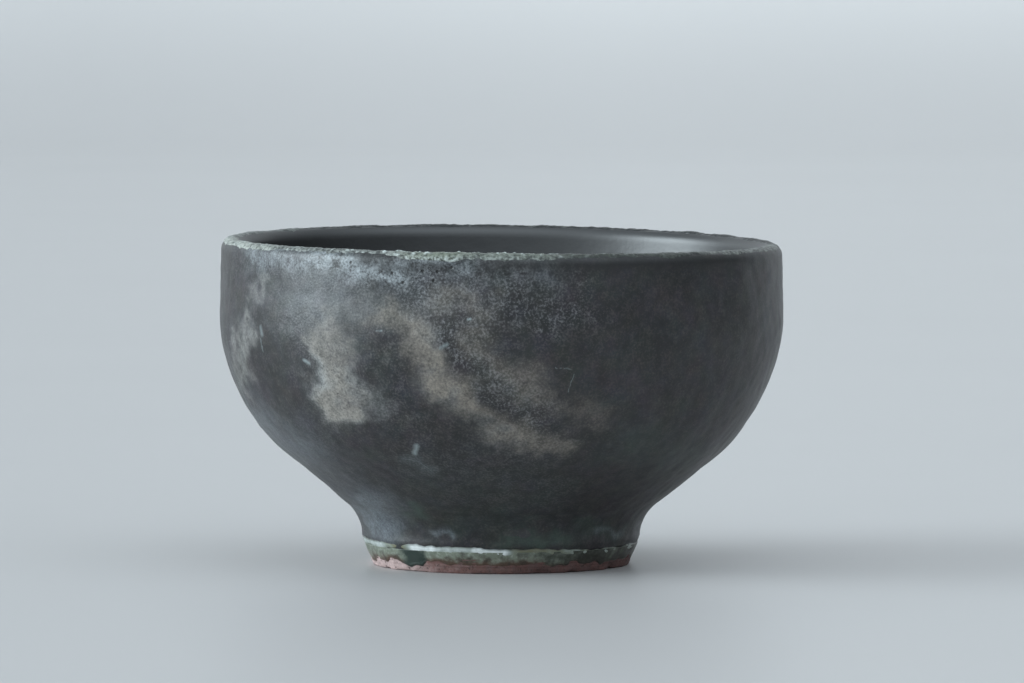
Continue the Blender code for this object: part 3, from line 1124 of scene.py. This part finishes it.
    # painted shade: a dark band just under the lip, strongest towards the right
    shades: Strokes = drawn(
        (0.5, 0.6, -14.0, 38.9, -6.0, 38.6),
        (0.6, 0.6, -2.0, 39.2, 8.0, 39.2),
        (0.9, 0.8, 8.0, 39.1, 30.0, 39.0),
    )
    pits: Strokes = (
        drawn((2.2, 0.6, -20.0, 38.4, -13.0, 37.4, -5.0, 37.6))
        + drawn((3.0, 0.9, -16.0, 38.0, 14.0, 37.0), facing=Facing.BACK)
        + drawn((7.0, 0.3, -20.0, 24.0, 14.0, 22.0))
    )
    pinholes: tuple[Pair, ...] = (
        (-18.1, 39.0), (-13.1, 37.9), (-11.8, 36.8), (-9.4, 38.2), (-7.6, 38.2), (-5.9, 38.7), (-8.1, 37.1))
    marks: tuple[Mark, ...] = (
        Mark((6.6, 26.7), (7.3, 26.65), 0.10, 0.5),
        Mark((7.7, 26.6), (8.7, 26.5), 0.10, 0.4),
        Mark((8.8, 25.9), (8.2, 23.7), 0.11, 0.45),
        Mark((-10.35, 16.75), (-10.65, 15.75), 0.50, 0.8),
        Mark((-12.1, 15.0), (-10.1, 14.6), 0.12, 0.3),
        Mark((-10.1, 14.6), (-8.4, 13.1), 0.12, 0.35),
        Mark((-29.3, 30.6), (-29.1, 29.6), 0.42, 0.45),
        Mark((-29.3, 29.1), (-29.1, 27.6), 0.22, 0.4),
        Mark((-23.9, 26.9), (-23.2, 26.5), 0.32, 0.8),
        Mark((-14.9, 30.9), (-14.3, 30.9), 0.20, 0.7),
        Mark((-7.2, 29.0), (-6.5, 29.5), 0.34, 0.6),
        Mark((-4.0, 32.6), (-3.6, 32.6), 0.20, 1.0),
    )

    def build(self) -> Piece:
        """Carries face and back round as one closed shell, with the peel on its face.

        Returns:
            The coat, with its strokes painted on.
        """
        face, back = (
            evenly(self.section.outside(self.end_level, self.lip_turn, depth), rows)
            for depth, rows in ((0.0, self.face_rows), (self.thickness, self.back_rows)))
        step = np.linalg.norm(face[1] - face[0])
        calm = np.clip(np.arange(self.face_rows)[:, None] * step / self.calm_reach, 0, 1)
        relief = summed(self.peel, self.turned(face)) * calm
        piece = self.close("charcoal_coat", self.pushed_out(face, relief), self.turned(back[::-1]))
        layers = (  # each paint with its strokes, and how far their outlines wander
            ("cloud", self.clouds + self.guessed_clouds, 0.5 * MM),
            ("warm", self.warms, 0.8 * MM),
            ("dust", self.dusts, 0.8 * MM),
            ("haze", self.hazes, 0.3 * MM),
            ("frost_and_highlight", self.frost_and_highlight_strokes, 0.3 * MM),
            ("blush", self.blushes, 0.4 * MM),
            ("shade", self.shades, 0.2 * MM),
            ("pitted", self.pits, 0.8 * MM),
        )
        for name, strokes, ragged in layers:
            paint_strokes(piece, name, strokes, ragged)
        return piece

    def front_places(self, spots: Any) -> np.ndarray:
        """Finds spots on the thrown wall as the front's viewer sees them: y = -sqrt(r squared - x squared).

        Args:
            spots: distances across and up, in millimetres.

        Returns:
            One place per spot.
        """
        across, level = np.array(spots).T * MM
        radius = np.array([self.section.wall_radius(height) for height in level])
        depth = -np.sqrt(np.maximum(radius ** 2 - across ** 2, 0))
        return self.warp.bend(np.stack([across, depth, level], -1))

    def finish(self, piece: Piece) -> None:
        """Dresses the coat in charcoal glaze with its scars and pinholes.

        Args:
            piece: the coat.
        """
        scars = [(self.front_places([mark.start, mark.end]), mark) for mark in self.marks]
        glaze = CharcoalGlaze().build(scars, self.front_places(self.pinholes))
        dress(piece, glaze, ("outer_glaze",))


@dataclass
class InnerCoat(CupPiece):
    """The liner glaze inside, from the floor to under the lip glaze, over soft throwing rings."""

    columns: int = 420
    face_rows: int = 150
    back_rows: int = 24
    thickness: float = 0.45 * MM
    lip_turn: float = math.radians(20)
    ring_pitch: float = 4.2 * MM
    ring_depth: float = 0.03 * MM
    calm_radius: float = 6.0 * MM  # rings and peel grow from nothing at the axis over this radius
    calm_share: float = 6.0  # and fade out over the last sixth of the line, under the lip
    lean: float = 0.7 * MM  # how much thicker the right wall gets over the lean's reach below the lip
    lean_reach: float = 5.0 * MM
    lean_end: float = 4.0  # how many reaches below the lip the lean has run out
    lean_middle: float = 0.75  # its share at the middle of the cup, which falls towards the left
    peel: Ripples = (Ripple(8.0 * MM, 0.04 * MM, seed=21), Ripple(2.0 * MM, 0.01 * MM, seed=22))

    def build(self) -> Piece:
        """Turns the liner as a closed shell: rings rise as a spiral, depth times cos(2 pi s / pitch + t).

        Returns:
            The liner.
        """
        face, back = (
            evenly(self.section.inside(self.lip_turn, depth), rows)
            for depth, rows in ((0.0, self.face_rows), (self.thickness, self.back_rows)))
        flat = self.turned(face)
        along = np.linspace(0, 1, self.face_rows)[:, None]
        length = np.linalg.norm(np.diff(face, axis=0), axis=1).sum()
        calm = self.calm_radius ** 2
        fade = np.clip(flat[..., 0] ** 2 + flat[..., 1] ** 2, 0, calm) / calm
        fade = fade * np.clip((1 - along) * self.calm_share, 0, 1)
        phase = 2 * math.pi * along * length / self.ring_pitch
        rings = self.ring_depth * np.cos(phase + self.turns) * fade
        below = (1 - along) * length / self.lean_reach
        fall = np.clip((self.lean_end - below) / (self.lean_end - 1), 0, 1)
        swell = self.lean * np.clip(below, 0, 1) * fall
        swell = swell * np.clip(self.lean_middle + flat[..., 0] / self.section.mouth_radius, 0, 1)
        relief = swell + rings + summed(self.peel, flat) * fade
        return self.close("liner_coat", self.pushed_out(face, relief), self.turned(back[::-1]), poles=True)

    def finish(self, piece: Piece) -> None:
        """Dresses the liner in dark glaze."""
        dress(piece, LinerGlaze().build(), ("inner_glaze",))


@dataclass
class LipCoat(CupPiece):
    """The thin glaze on the lip: crumbs on its crest, runs below it, and edges that sink into the coats."""

    columns: int = 1500
    face_rows: int = 46
    back_rows: int = 8
    outer_reach: float = 1.15 * MM
    inner_reach: float = 0.80 * MM
    run_reach: float = 0.8 * MM
    run_drop: float = 0.6 * MM  # runs are laid out this far below the crest
    proud: float = 0.03 * MM
    run_proud: float = 0.10 * MM
    sunk: float = 0.06 * MM
    thickness: float = 0.5 * MM
    back_share: float = 0.9  # how much of the face's reach the back has
    edge_power: int = 8  # how suddenly the edges sink
    fade_power: int = 6  # how suddenly the colour of runs ends there
    outer_fade: float = 0.8 * MM  # and over which length it sets in at the crest
    ragged: float = 0.3 * MM
    wander: Ripples = (Ripple(6.0 * MM, 0.12 * MM, seed=31), Ripple(1.5 * MM, 0.07 * MM, seed=32))
    crest: Ripples = (Ripple(5.0 * MM, 0.03 * MM, seed=33), Ripple(1.1 * MM, 0.022 * MM, seed=34))
    grit: Ripple = Ripple(0.75 * MM, 1.0, seed=36)
    grit_floor: float = 0.8  # only the peaks of the grit above this stand as crumbs
    crumb_height: float = 0.14 * MM
    crumb_band: Pair = (0.3 * MM, 0.8 * MM)  # middle and half width, from the crest outwards
    bead_band: Pair = (0.85, 0.16)  # the same for beads, as shares of the outer reach
    gather_band: Pair = (0.6, 0.4)  # and for the glaze that gathered in runs
    runs: Strokes = bands(
        39.8,
        (1.6, 0.9, -11.0, -6.2),
        (1.6, 0.5, -6.0, 5.0),
        (1.6, 0.20, 8.0, 22.0),
        (2.0, 0.30, -34.0, -30.0),
        (2.4, 0.6, -8.0, 2.0, Facing.BACK),
    )
    pales: Strokes = bands(
        40.4,
        (2.6, 1.0, -34.8, -30.5),
        (2.0, 0.38, -31.0, -12.0),
        (2.0, 0.30, -12.0, 6.0),
        (2.0, 0.4, 26.0, 34.8),
    ) + bands(40.0, (3.0, 0.4, -20.0, 10.0, Facing.LEFT))
    crumbs: Strokes = bands(
        40.0,
        (2.5, 1.0, -12.0, 6.0),
        (2.5, 0.5, -34.0, -12.0),
        (2.5, 0.15, 6.0, 34.0),
        (2.5, 0.2, -34.0, 34.0, Facing.BACK),
    )
    dusts: Strokes = bands(
        40.0,
        (2.5, 0.8, -34.0, 4.0),
        (2.5, 0.06, 4.0, 34.0),
        (3.0, 0.5, -20.0, 10.0, Facing.LEFT),
    )

    def build(self) -> Piece:
        """Carries the lip's line round: edges lie at a wandering reach, and peaks of the grit stand proud.

        Returns:
            The lip's coat, with its strokes painted on.
        """
        rim = self.hoop(self.section.mouth_radius, self.section.height)
        run = laid_over(self.runs, rim - (0, 0, self.run_drop))
        outer = self.outer_reach + summed(self.wander, rim) + self.run_reach * run
        inner = self.inner_reach + summed(self.wander, rim[:, [1, 0, 2]])  # x and y swapped, to differ
        across = np.linspace(-1, 1, self.face_rows)[:, None]
        reach = np.where(across < 0, across * inner, across * outer)
        radius, height, out_r, out_z = self.section.lip_at(reach)
        flat = self.grid(radius, height)
        edge = np.abs(across) ** self.edge_power
        peaks = np.clip(self.grit.at(flat) - self.grit_floor, 0, 1)
        crumb = peaks * swelling(reach, *self.crumb_band) * laid_over(self.crumbs, flat)
        gather = self.run_proud * run * swelling(across, *self.gather_band)
        lift = (self.proud + gather) * (1 - edge) - self.sunk * edge + self.crumb_height * crumb
        lift = lift + summed(self.crest, flat) * (1 - edge)
        face = self.grid(radius + lift * out_r, height + lift * out_z)
        deep = np.linspace(1, -1, self.back_rows)[:, None] * np.minimum(inner, outer) * self.back_share
        radius, height, out_r, out_z = self.section.lip_at(deep)
        back = self.grid(radius - self.thickness * out_r, height - self.thickness * out_z)
        piece = self.close("lip_coat", face, back)
        outward = np.clip(0.5 + reach / self.outer_fade, 0, 1) * (1 - np.abs(across) ** self.fade_power)
        bead = swelling(across, *self.bead_band) * run ** 2
        for name, amount in (("crumb", crumb), ("bead", bead), ("run", run * outward)):
            paint(piece, name, np.vstack([amount, np.zeros(deep.shape)]))
        for name, strokes in (("pale", self.pales), ("dust", self.dusts)):
            paint_strokes(piece, name, strokes, self.ragged)
        return piece

    def finish(self, piece: Piece) -> None:
        """Dresses the lip in thin green glaze."""
        dress(piece, LipGlaze().build(), ("lip_glaze",))


@dataclass
class FootGlaze(CupPiece):
    """The end of the outer glaze on the foot: a pooled roll, and a thin run below it."""

    columns: int = 900
    roll_rows: int = 32
    run_rows: int = 26
    back_rows: int = 4
    roll_level: float = 2.85 * MM
    roll_tilt: float = 0.35 * MM  # how much higher it lies at the left and lower at the right
    roll_half_height: float = 0.50 * MM
    roll_thickness: float = 0.09 * MM
    roll_sunk: float = 0.10 * MM
    back_depth: float = 0.55 * MM
    pool_level: float = 2.6  # height of the strokes for pools, in millimetres
    pool_sag: float = 0.05 * MM
    fatness: tuple[float, float, float] = (0.62, 0.5, 0.6)  # of the plain roll, and what pools and swells add
    fat_limits: Pair = (0.3, 1.5)
    core_power: float = 0.7  # how suddenly the roll's colour ends at its back
    swell_pale: float = 0.35  # how much paler a swell is
    top_start: float = 0.1  # how far up the roll's charcoal top begins
    run_top: float = 2.75 * MM
    run_end: float = 1.05 * MM
    run_proud: float = 0.08 * MM
    run_thinning: float = 0.5  # how much of that is lost down to the hem
    run_back: float = 0.9 * MM
    run_inset: Pair = (0.05 * MM, 0.1 * MM)  # how far its back stays inside hem and top
    drip_level: float = 1.6  # height of the strokes for drips, in millimetres
    drip_reach: float = 0.4 * MM
    drip_deep: float = 0.9  # how dark a drip is
    drip_thick: float = 0.6  # how much it hides the clay below
    hem_limits: Pair = (0.35 * MM, 2.0 * MM)
    bead_band: Pair = (0.86, 0.09)  # middle and half width, as shares of the way down
    bead_height: Pair = (0.05 * MM, 0.1 * MM)  # of the plain hem, and what a drip adds
    taper: float = 0.35 * MM  # how far the hem sinks into the clay
    taper_power: int = 6
    stray: Ripple = Ripple(7.0 * MM, 0.06 * MM, seed=41)
    swell: Ripples = (Ripple(4.0 * MM, 0.2, seed=42), Ripple(1.4 * MM, 0.14, seed=43))
    hem: Ripples = (Ripple(5.0 * MM, 0.22 * MM, seed=44), Ripple(1.6 * MM, 0.12 * MM, seed=45))
    roll_peel: Ripple = Ripple(0.9 * MM, 0.015 * MM, seed=46)
    run_peel: Ripple = Ripple(1.8 * MM, 0.02 * MM, seed=47)
    pools: Strokes = bands(
        pool_level,
        (1.1, 0.55, -16.6, -14.4),
        (1.0, 1.0, -10.6, -8.6),
        (1.0, 0.6, -7.6, -4.6),
        (1.0, 1.0, -2.8, 0.2),
        (1.0, 0.2, 2.0, 9.0),
        (1.2, 0.42, 10.0, 16.4),
        (1.5, 0.8, -16.0, -6.0, Facing.LEFT),
        (1.2, 0.9, -2.0, 5.0, Facing.BACK),
        (1.2, 0.6, 9.0, 14.0, Facing.BACK),
    )
    drips: Strokes = bands(
        drip_level,
        (1.0, 0.8, -11.6, -10.6),
        (2.0, 0.25, 7.0, 12.0),
        (0.9, 0.7, -4.0, -2.6, Facing.BACK),
    )
    # painted shade on the run, towards the right
    run_painted_shade_strokes: Strokes = bands(
        drip_level,
        (5.0, 0.6, 9.0, 17.0),
        (5.0, 0.5, -8.0, 4.0, Facing.RIGHT),
    )

    def build_roll(self) -> Piece:
        """Carries a swelling ellipse round the foot: thickness and height grow where the glaze pooled.

        Returns:
            The roll, with its paleness painted on.
        """
        line = self.hoop(self.section.foot_radius, self.pool_level * MM)
        pooled = laid_over(self.pools, line)
        uneven = summed(self.swell, line)
        plain, pool, swell = self.fatness
        fat = np.clip(plain + pool * pooled + swell * uneven, *self.fat_limits)
        tilt = self.roll_tilt * line[:, 0] / self.section.foot_radius
        level = self.roll_level - tilt + self.stray.at(line) - self.pool_sag * pooled
        angle = np.linspace(math.pi / 2, -math.pi * 1.5, self.roll_rows, endpoint=False)[:, None]
        bulge = np.where(np.cos(angle) > 0, self.roll_thickness * (1 + fat), self.back_depth)
        height = level + self.roll_half_height * fat * np.sin(angle)
        radius = self.section.foot_at(height) - self.roll_sunk + bulge * np.cos(angle)
        rough = self.roll_peel.at(self.grid(radius, height))
        piece = self.close("pooled_roll", self.grid(
            radius + rough * np.cos(angle), height + rough * np.sin(angle)))
        core = np.clip(np.cos(angle), 0, 1) ** self.core_power
        paint(piece, "pale", (pooled + self.swell_pale * uneven) * core)
        paint(piece, "top", np.broadcast_to(np.clip(np.sin(angle) - self.top_start, 0, 1), radius.shape))
        return piece

    def build_run(self) -> Piece:
        """Carries a thin wedge round the foot, from the roll down to a hem that wanders and drips.

        Returns:
            The run, with its drips, thin hem and painted shade on it.
        """
        line = self.hoop(self.section.foot_radius, self.drip_level * MM)
        drip = laid_over(self.drips, line)
        hem = np.clip(self.run_end - self.drip_reach * drip + summed(self.hem, line), *self.hem_limits)
        down = np.linspace(0, 1, self.run_rows)[:, None]
        height = self.run_top + (hem - self.run_top) * down
        bead = swelling(down, *self.bead_band) * (self.bead_height[0] + self.bead_height[1] * drip)
        radius = self.section.foot_at(height) + self.run_proud * (1 - self.run_thinning * down) + bead
        radius = radius - self.taper * down ** self.taper_power
        radius = radius + self.run_peel.at(self.grid(radius, height))
        rise = np.linspace(0, 1, self.back_rows)[:, None]
        back_height = hem + self.run_inset[0] + (self.run_top - self.run_inset[1] - hem) * rise
        back = self.grid(self.section.foot_at(back_height) - self.run_back, back_height)
        piece = self.close("olive_run", self.grid(radius, height), back)
        deep = np.broadcast_to(self.drip_deep * drip, (self.run_rows + self.back_rows, self.columns))
        paint(piece, "deep", deep)
        thin = down ** 2 - self.drip_thick * drip
        paint(piece, "thin", np.vstack([thin, np.zeros(back_height.shape)]))
        paint_strokes(piece, "run_painted_shade", self.run_painted_shade_strokes)
        return piece

    def finish(self, roll: Piece, run: Piece) -> None:
        """Dresses the roll in pooled glaze and the run in olive glaze."""
        dress(roll, PooledGlaze().build(), ("foot_glaze_roll",))
        dress(run, OliveGlaze().build(), ("foot_glaze_skirt",))


@dataclass
class ClayBody(CupPiece):
    """The bare clay that shows: the foot ring with its worn edges, and the turned floor of the recess."""

    slope_rows: int = 14  # points along each stretch of the ring's section
    wall_rows: int = 20
    edge_rows: int = 9
    bottom_rows: int = 18
    hollow_rows: int = 22
    roof_rows: int = 8
    core_rows: int = 40  # and along each stretch of the bowl's
    shell_rows: int = 50
    seat_rows: int = 70
    clay_depth: float = 0.06 * MM  # how far the bare clay lies under the glazed foot
    knee_level: float = 2.2 * MM  # above this the clay falls back under the coat
    recess_radius: float = 12.45 * MM
    recess_fade: float = 1.0 * MM  # the recess's relief grows from nothing over this length
    seat_level: float = 5.0 * MM
    seat_lap: float = 0.05 * MM  # how far the ring reaches past the seat
    edge_radius: float = 0.5 * MM
    coat: float = 0.75 * MM
    spiral_pitch: float = 1.9 * MM
    spiral_depth: float = 0.16 * MM
    spiral_start: float = 2.0 * MM  # the spiral grows from nothing over this radius
    nub_height: float = 0.5 * MM
    nub_radius: float = 1.8 * MM
    tool_depth: float = 0.02 * MM
    tool_pitch: float = 0.42 * MM
    grit: Ripples = (Ripple(4.0 * MM, 0.03 * MM, seed=51), Ripple(1.0 * MM, 0.018 * MM, seed=52))
    chips: Ripple = Ripple(2.2 * MM, 0.07 * MM, seed=53)
    chip_gain: float = 1.6
    chip_reach: float = 0.7 * MM  # how far nicks spread from the lower edge
    ragged: float = 0.6 * MM
    # painted shade towards the right of the ring, and painted light on its left
    clay_painted_shade_strokes: Strokes = bands(
        0.8,
        (8.0, 0.4, 6.0, 17.0),
        (5.0, 0.3, -6.0, 4.0),
        (6.0, 0.5, -8.0, 6.0, Facing.RIGHT),
    )
    clay_painted_light_strokes: Strokes = bands(
        0.8,
        (4.0, 1.1, -17.0, -13.5),
        (4.0, 0.8, -8.0, 6.0, Facing.LEFT),
    )

    def build_ring(self) -> Piece:
        """Turns the foot ring as a closed loop, with grit, tool lines and nicks in its lower edge.

        Returns:
            The ring, with painted shade and painted light on it.
        """
        top, edge, recess = self.seat_level + self.seat_lap, self.edge_radius, self.recess_radius
        crown = self.section.foot_radius - self.coat
        knee, foot = (self.section.foot_at(level) - self.clay_depth for level in (self.knee_level, edge))
        line = np.vstack([
            np.linspace([crown, top], [knee, self.knee_level], self.slope_rows)[:-1],
            np.linspace([knee, self.knee_level], [foot, edge], self.wall_rows)[:-1],
            arc((foot - edge, edge), edge, 0, -math.pi / 2, self.edge_rows),
            np.linspace([foot - edge, 0], [recess + edge, 0], self.bottom_rows)[1:-1],
            arc((recess + edge, edge), edge, -math.pi / 2, -math.pi, self.edge_rows),
            np.linspace([recess, edge], [recess, top], self.hollow_rows)[1:],
            np.linspace([recess, top], [crown, top], self.roof_rows)[1:-1],
        ])
        flat = self.turned(line)
        tool = self.tool_depth * np.sin(2 * math.pi * flat[..., 2] / self.tool_pitch)
        corner = swelling(np.hypot(line[:, 0] - foot, line[:, 1]), 0.0, self.chip_reach)[:, None]
        nicks = corner * np.maximum(self.chips.at(flat), 0) * self.chip_gain
        grid = self.pushed_out(line, summed(self.grit, flat) + tool - nicks)
        grid[..., 2] = np.maximum(grid[..., 2], 0)
        piece = self.close("foot_clay", grid)
        for name, strokes in (("clay_painted_shade", self.clay_painted_shade_strokes), ("clay_painted_light", self.clay_painted_light_strokes)):
            paint_strokes(piece, name, strokes, self.ragged)
        return piece

    def build_bowl(self) -> Piece:
        """Turns the clay core, whose recess floor keeps a spiral: depth times cos(2 pi r / pitch - t).

        Returns:
            The bowl.
        """
        core = evenly(self.section.inside(0.0, self.coat), self.core_rows)
        shell = evenly(self.section.outside(self.section.foot_height, 0.0, self.coat), self.shell_rows)
        shell = shell[shell[:, 1] > self.seat_level]
        seat = np.linspace([shell[-1, 0], self.seat_level], [0.0, self.seat_level], self.seat_rows)
        line = np.vstack([core, shell[1:], seat])
        radius = line[:, :1]
        floor = (np.arange(len(line)) >= len(line) - len(seat))[:, None]
        seen = floor * np.clip((self.recess_radius - radius) / self.recess_fade, 0, 1)
        spiral = self.spiral_depth * np.cos(2 * math.pi * radius / self.spiral_pitch - self.turns)
        spiral = spiral * np.clip(radius / self.spiral_start, 0, 1)
        nub = self.nub_height * swelling(radius, 0.0, self.nub_radius)
        relief = seen * (spiral + nub + summed(self.grit, self.turned(line)))
        return self.close("bowl_clay", self.pushed_out(line, relief), poles=True)

    def finish(self, ring: Piece, bowl: Piece) -> None:
        """Dresses both in bare stoneware.

        Args:
            ring: the foot ring.
            bowl: the bowl.
        """
        clay = IronStoneware().build()
        dress(ring, clay, ("foot_ring",))
        dress(bowl, clay, ("clay_bowl",))


@dataclass
class Studio:
    """A pale table top that sweeps up into a backdrop, soft light from the left, and the camera."""

    section: CupSection
    picture: tuple[int, int] = (1024, 683)
    mouth_span_px: float = 561.0
    axis_px: Pair = (501.0, 563.5)  # where the cup's axis meets the table
    distance: float = 1.2
    elevation: float = math.radians(3.6)
    half_width: float = 2.2
    front: float = -1.8
    bend_start: float = 1.2
    bend_radius: float = 0.45
    backdrop_height: float = 2.0
    bend_steps: int = 48
    side_steps: int = 9
    window_place: tuple[float, float, float] = (-2.8, -0.35, 0.85)
    window_size: float = 1.9
    window_power: float = 77.0
    window_tint: tuple[float, float, float] = (0.82, 0.94, 1.0)
    sky: str = "#CCD8E0"
    glows: tuple[tuple[tuple[float, float, float], float, float], ...] = (  # way, power and strength of each
        ((-0.97, -0.25, 0.0), 2.5, 0.8),
        ((0.25, -0.42, 0.87), 6.0, 1.6),
    )
    sky_strength: float = 0.18
    sensor: float = 36.0

    def build_floor(self) -> None:
        """Carries an L-shaped line with a round bend from side to side, as one thin sheet."""
        bend = arc((self.bend_start, self.bend_radius), self.bend_radius, -math.pi / 2, 0, self.bend_steps)
        rise = self.bend_start + self.bend_radius
        line = np.vstack([[(self.front, 0.0)], bend, [(rise, self.backdrop_height)]])
        sides = np.linspace(-self.half_width, self.half_width, self.side_steps)
        across, along = np.meshgrid(sides, np.arange(len(line)))
        grid = np.stack([across, line[along, 0], line[along, 1]], -1)
        index = np.arange(across.size).reshape(across.shape)
        faces = np.stack([index[:-1, :-1], index[:-1, 1:], index[1:, 1:], index[1:, :-1]], -1)
        floor = linked_mesh("table_top", grid, faces.reshape(-1, 4).tolist())
        floor.data.materials.append(PaintedTop().build())
        LOG.info("%s: the stage", floor.name)

    def build_lights(self) -> None:
        """Hangs a large window on the left, and lets the sky glow round it and overhead.

        Each glow adds strength ((1 + way . glow way) / 2) ^ power to the sky, by the way looked at.
        """
        lamp = bpy.data.lights.new("window", "AREA")
        lamp.shape = "SQUARE"
        lamp.size = self.window_size
        lamp.energy = self.window_power
        lamp.color = self.window_tint
        target = np.array([0.0, 0.0, self.section.height / 2])
        self.aim(bpy.data.objects.new("window", lamp), np.array(self.window_place), target)

        world = bpy.context.scene.world or bpy.data.worlds.new("studio")
        bpy.context.scene.world = world
        mix = Recipe(world)
        way = mix.add(Node.WAY)
        strength = self.sky_strength
        for glow_way, power, glow in self.glows:
            near = mix.add(Node.RANGE, mix.add(Node.DOT, way, glow_way), -1.0)
            strength = mix.add(Node.WEIGH, mix.add(Node.POWER, near, power), glow, strength)
        mix.add(Node.WORLD, mix.add(Node.SKY, linear(self.sky), strength))

    def build_camera(self) -> None:
        """Sets the camera so that the mouth's width and the foot's place match the picture's, in pixels."""
        scale = 2 * self.section.mouth_radius / self.mouth_span_px
        lens = bpy.data.cameras.new("camera")
        lens.sensor_width = self.sensor
        lens.lens = self.sensor * self.distance / (self.picture[0] * scale)
        camera = bpy.data.objects.new("camera", lens)
        across = (self.picture[0] / 2 - self.axis_px[0]) * scale
        up = (self.axis_px[1] - self.picture[1] / 2) * scale / math.cos(self.elevation)
        target = np.array([across, 0.0, up])
        way = np.array([0.0, -math.cos(self.elevation), math.sin(self.elevation)])
        self.aim(camera, target + self.distance * way, target)
        bpy.context.scene.camera = camera

    @staticmethod
    def aim(thing: Piece, place: np.ndarray, target: np.ndarray) -> None:
        """Puts a lamp or the camera in the scene at a place, looking at a target with +Z up.

        Args:
            thing: the lamp or the camera.
            place: where it stands.
            target: what it looks at.
        """
        bpy.context.scene.collection.objects.link(thing)
        run = target - place
        thing.location = place.tolist()
        tilt = math.atan2(math.hypot(run[0], run[1]), -run[2])
        thing.rotation_euler = (tilt, 0.0, math.atan2(-run[0], run[1]))


def main() -> None:
    """Builds the studio and every piece of the cup."""
    logging.basicConfig(level=logging.INFO, format="%(message)s")
    section = CupSection.from_frame()
    warp = ThrownWarp(section.height, section.mouth_radius)

    studio = Studio(section)
    studio.build_camera()
    studio.build_lights()
    studio.build_floor()

    clay = ClayBody(section, warp)
    clay.finish(clay.build_ring(), clay.build_bowl())
    for coat in (OuterCoat(section, warp), InnerCoat(section, warp), LipCoat(section, warp)):
        coat.finish(coat.build())
    foot = FootGlaze(section, warp)
    foot.finish(foot.build_roll(), foot.build_run())

    bpy.context.scene.view_settings.view_transform = "Standard"


if __name__ == "__main__":
    main()
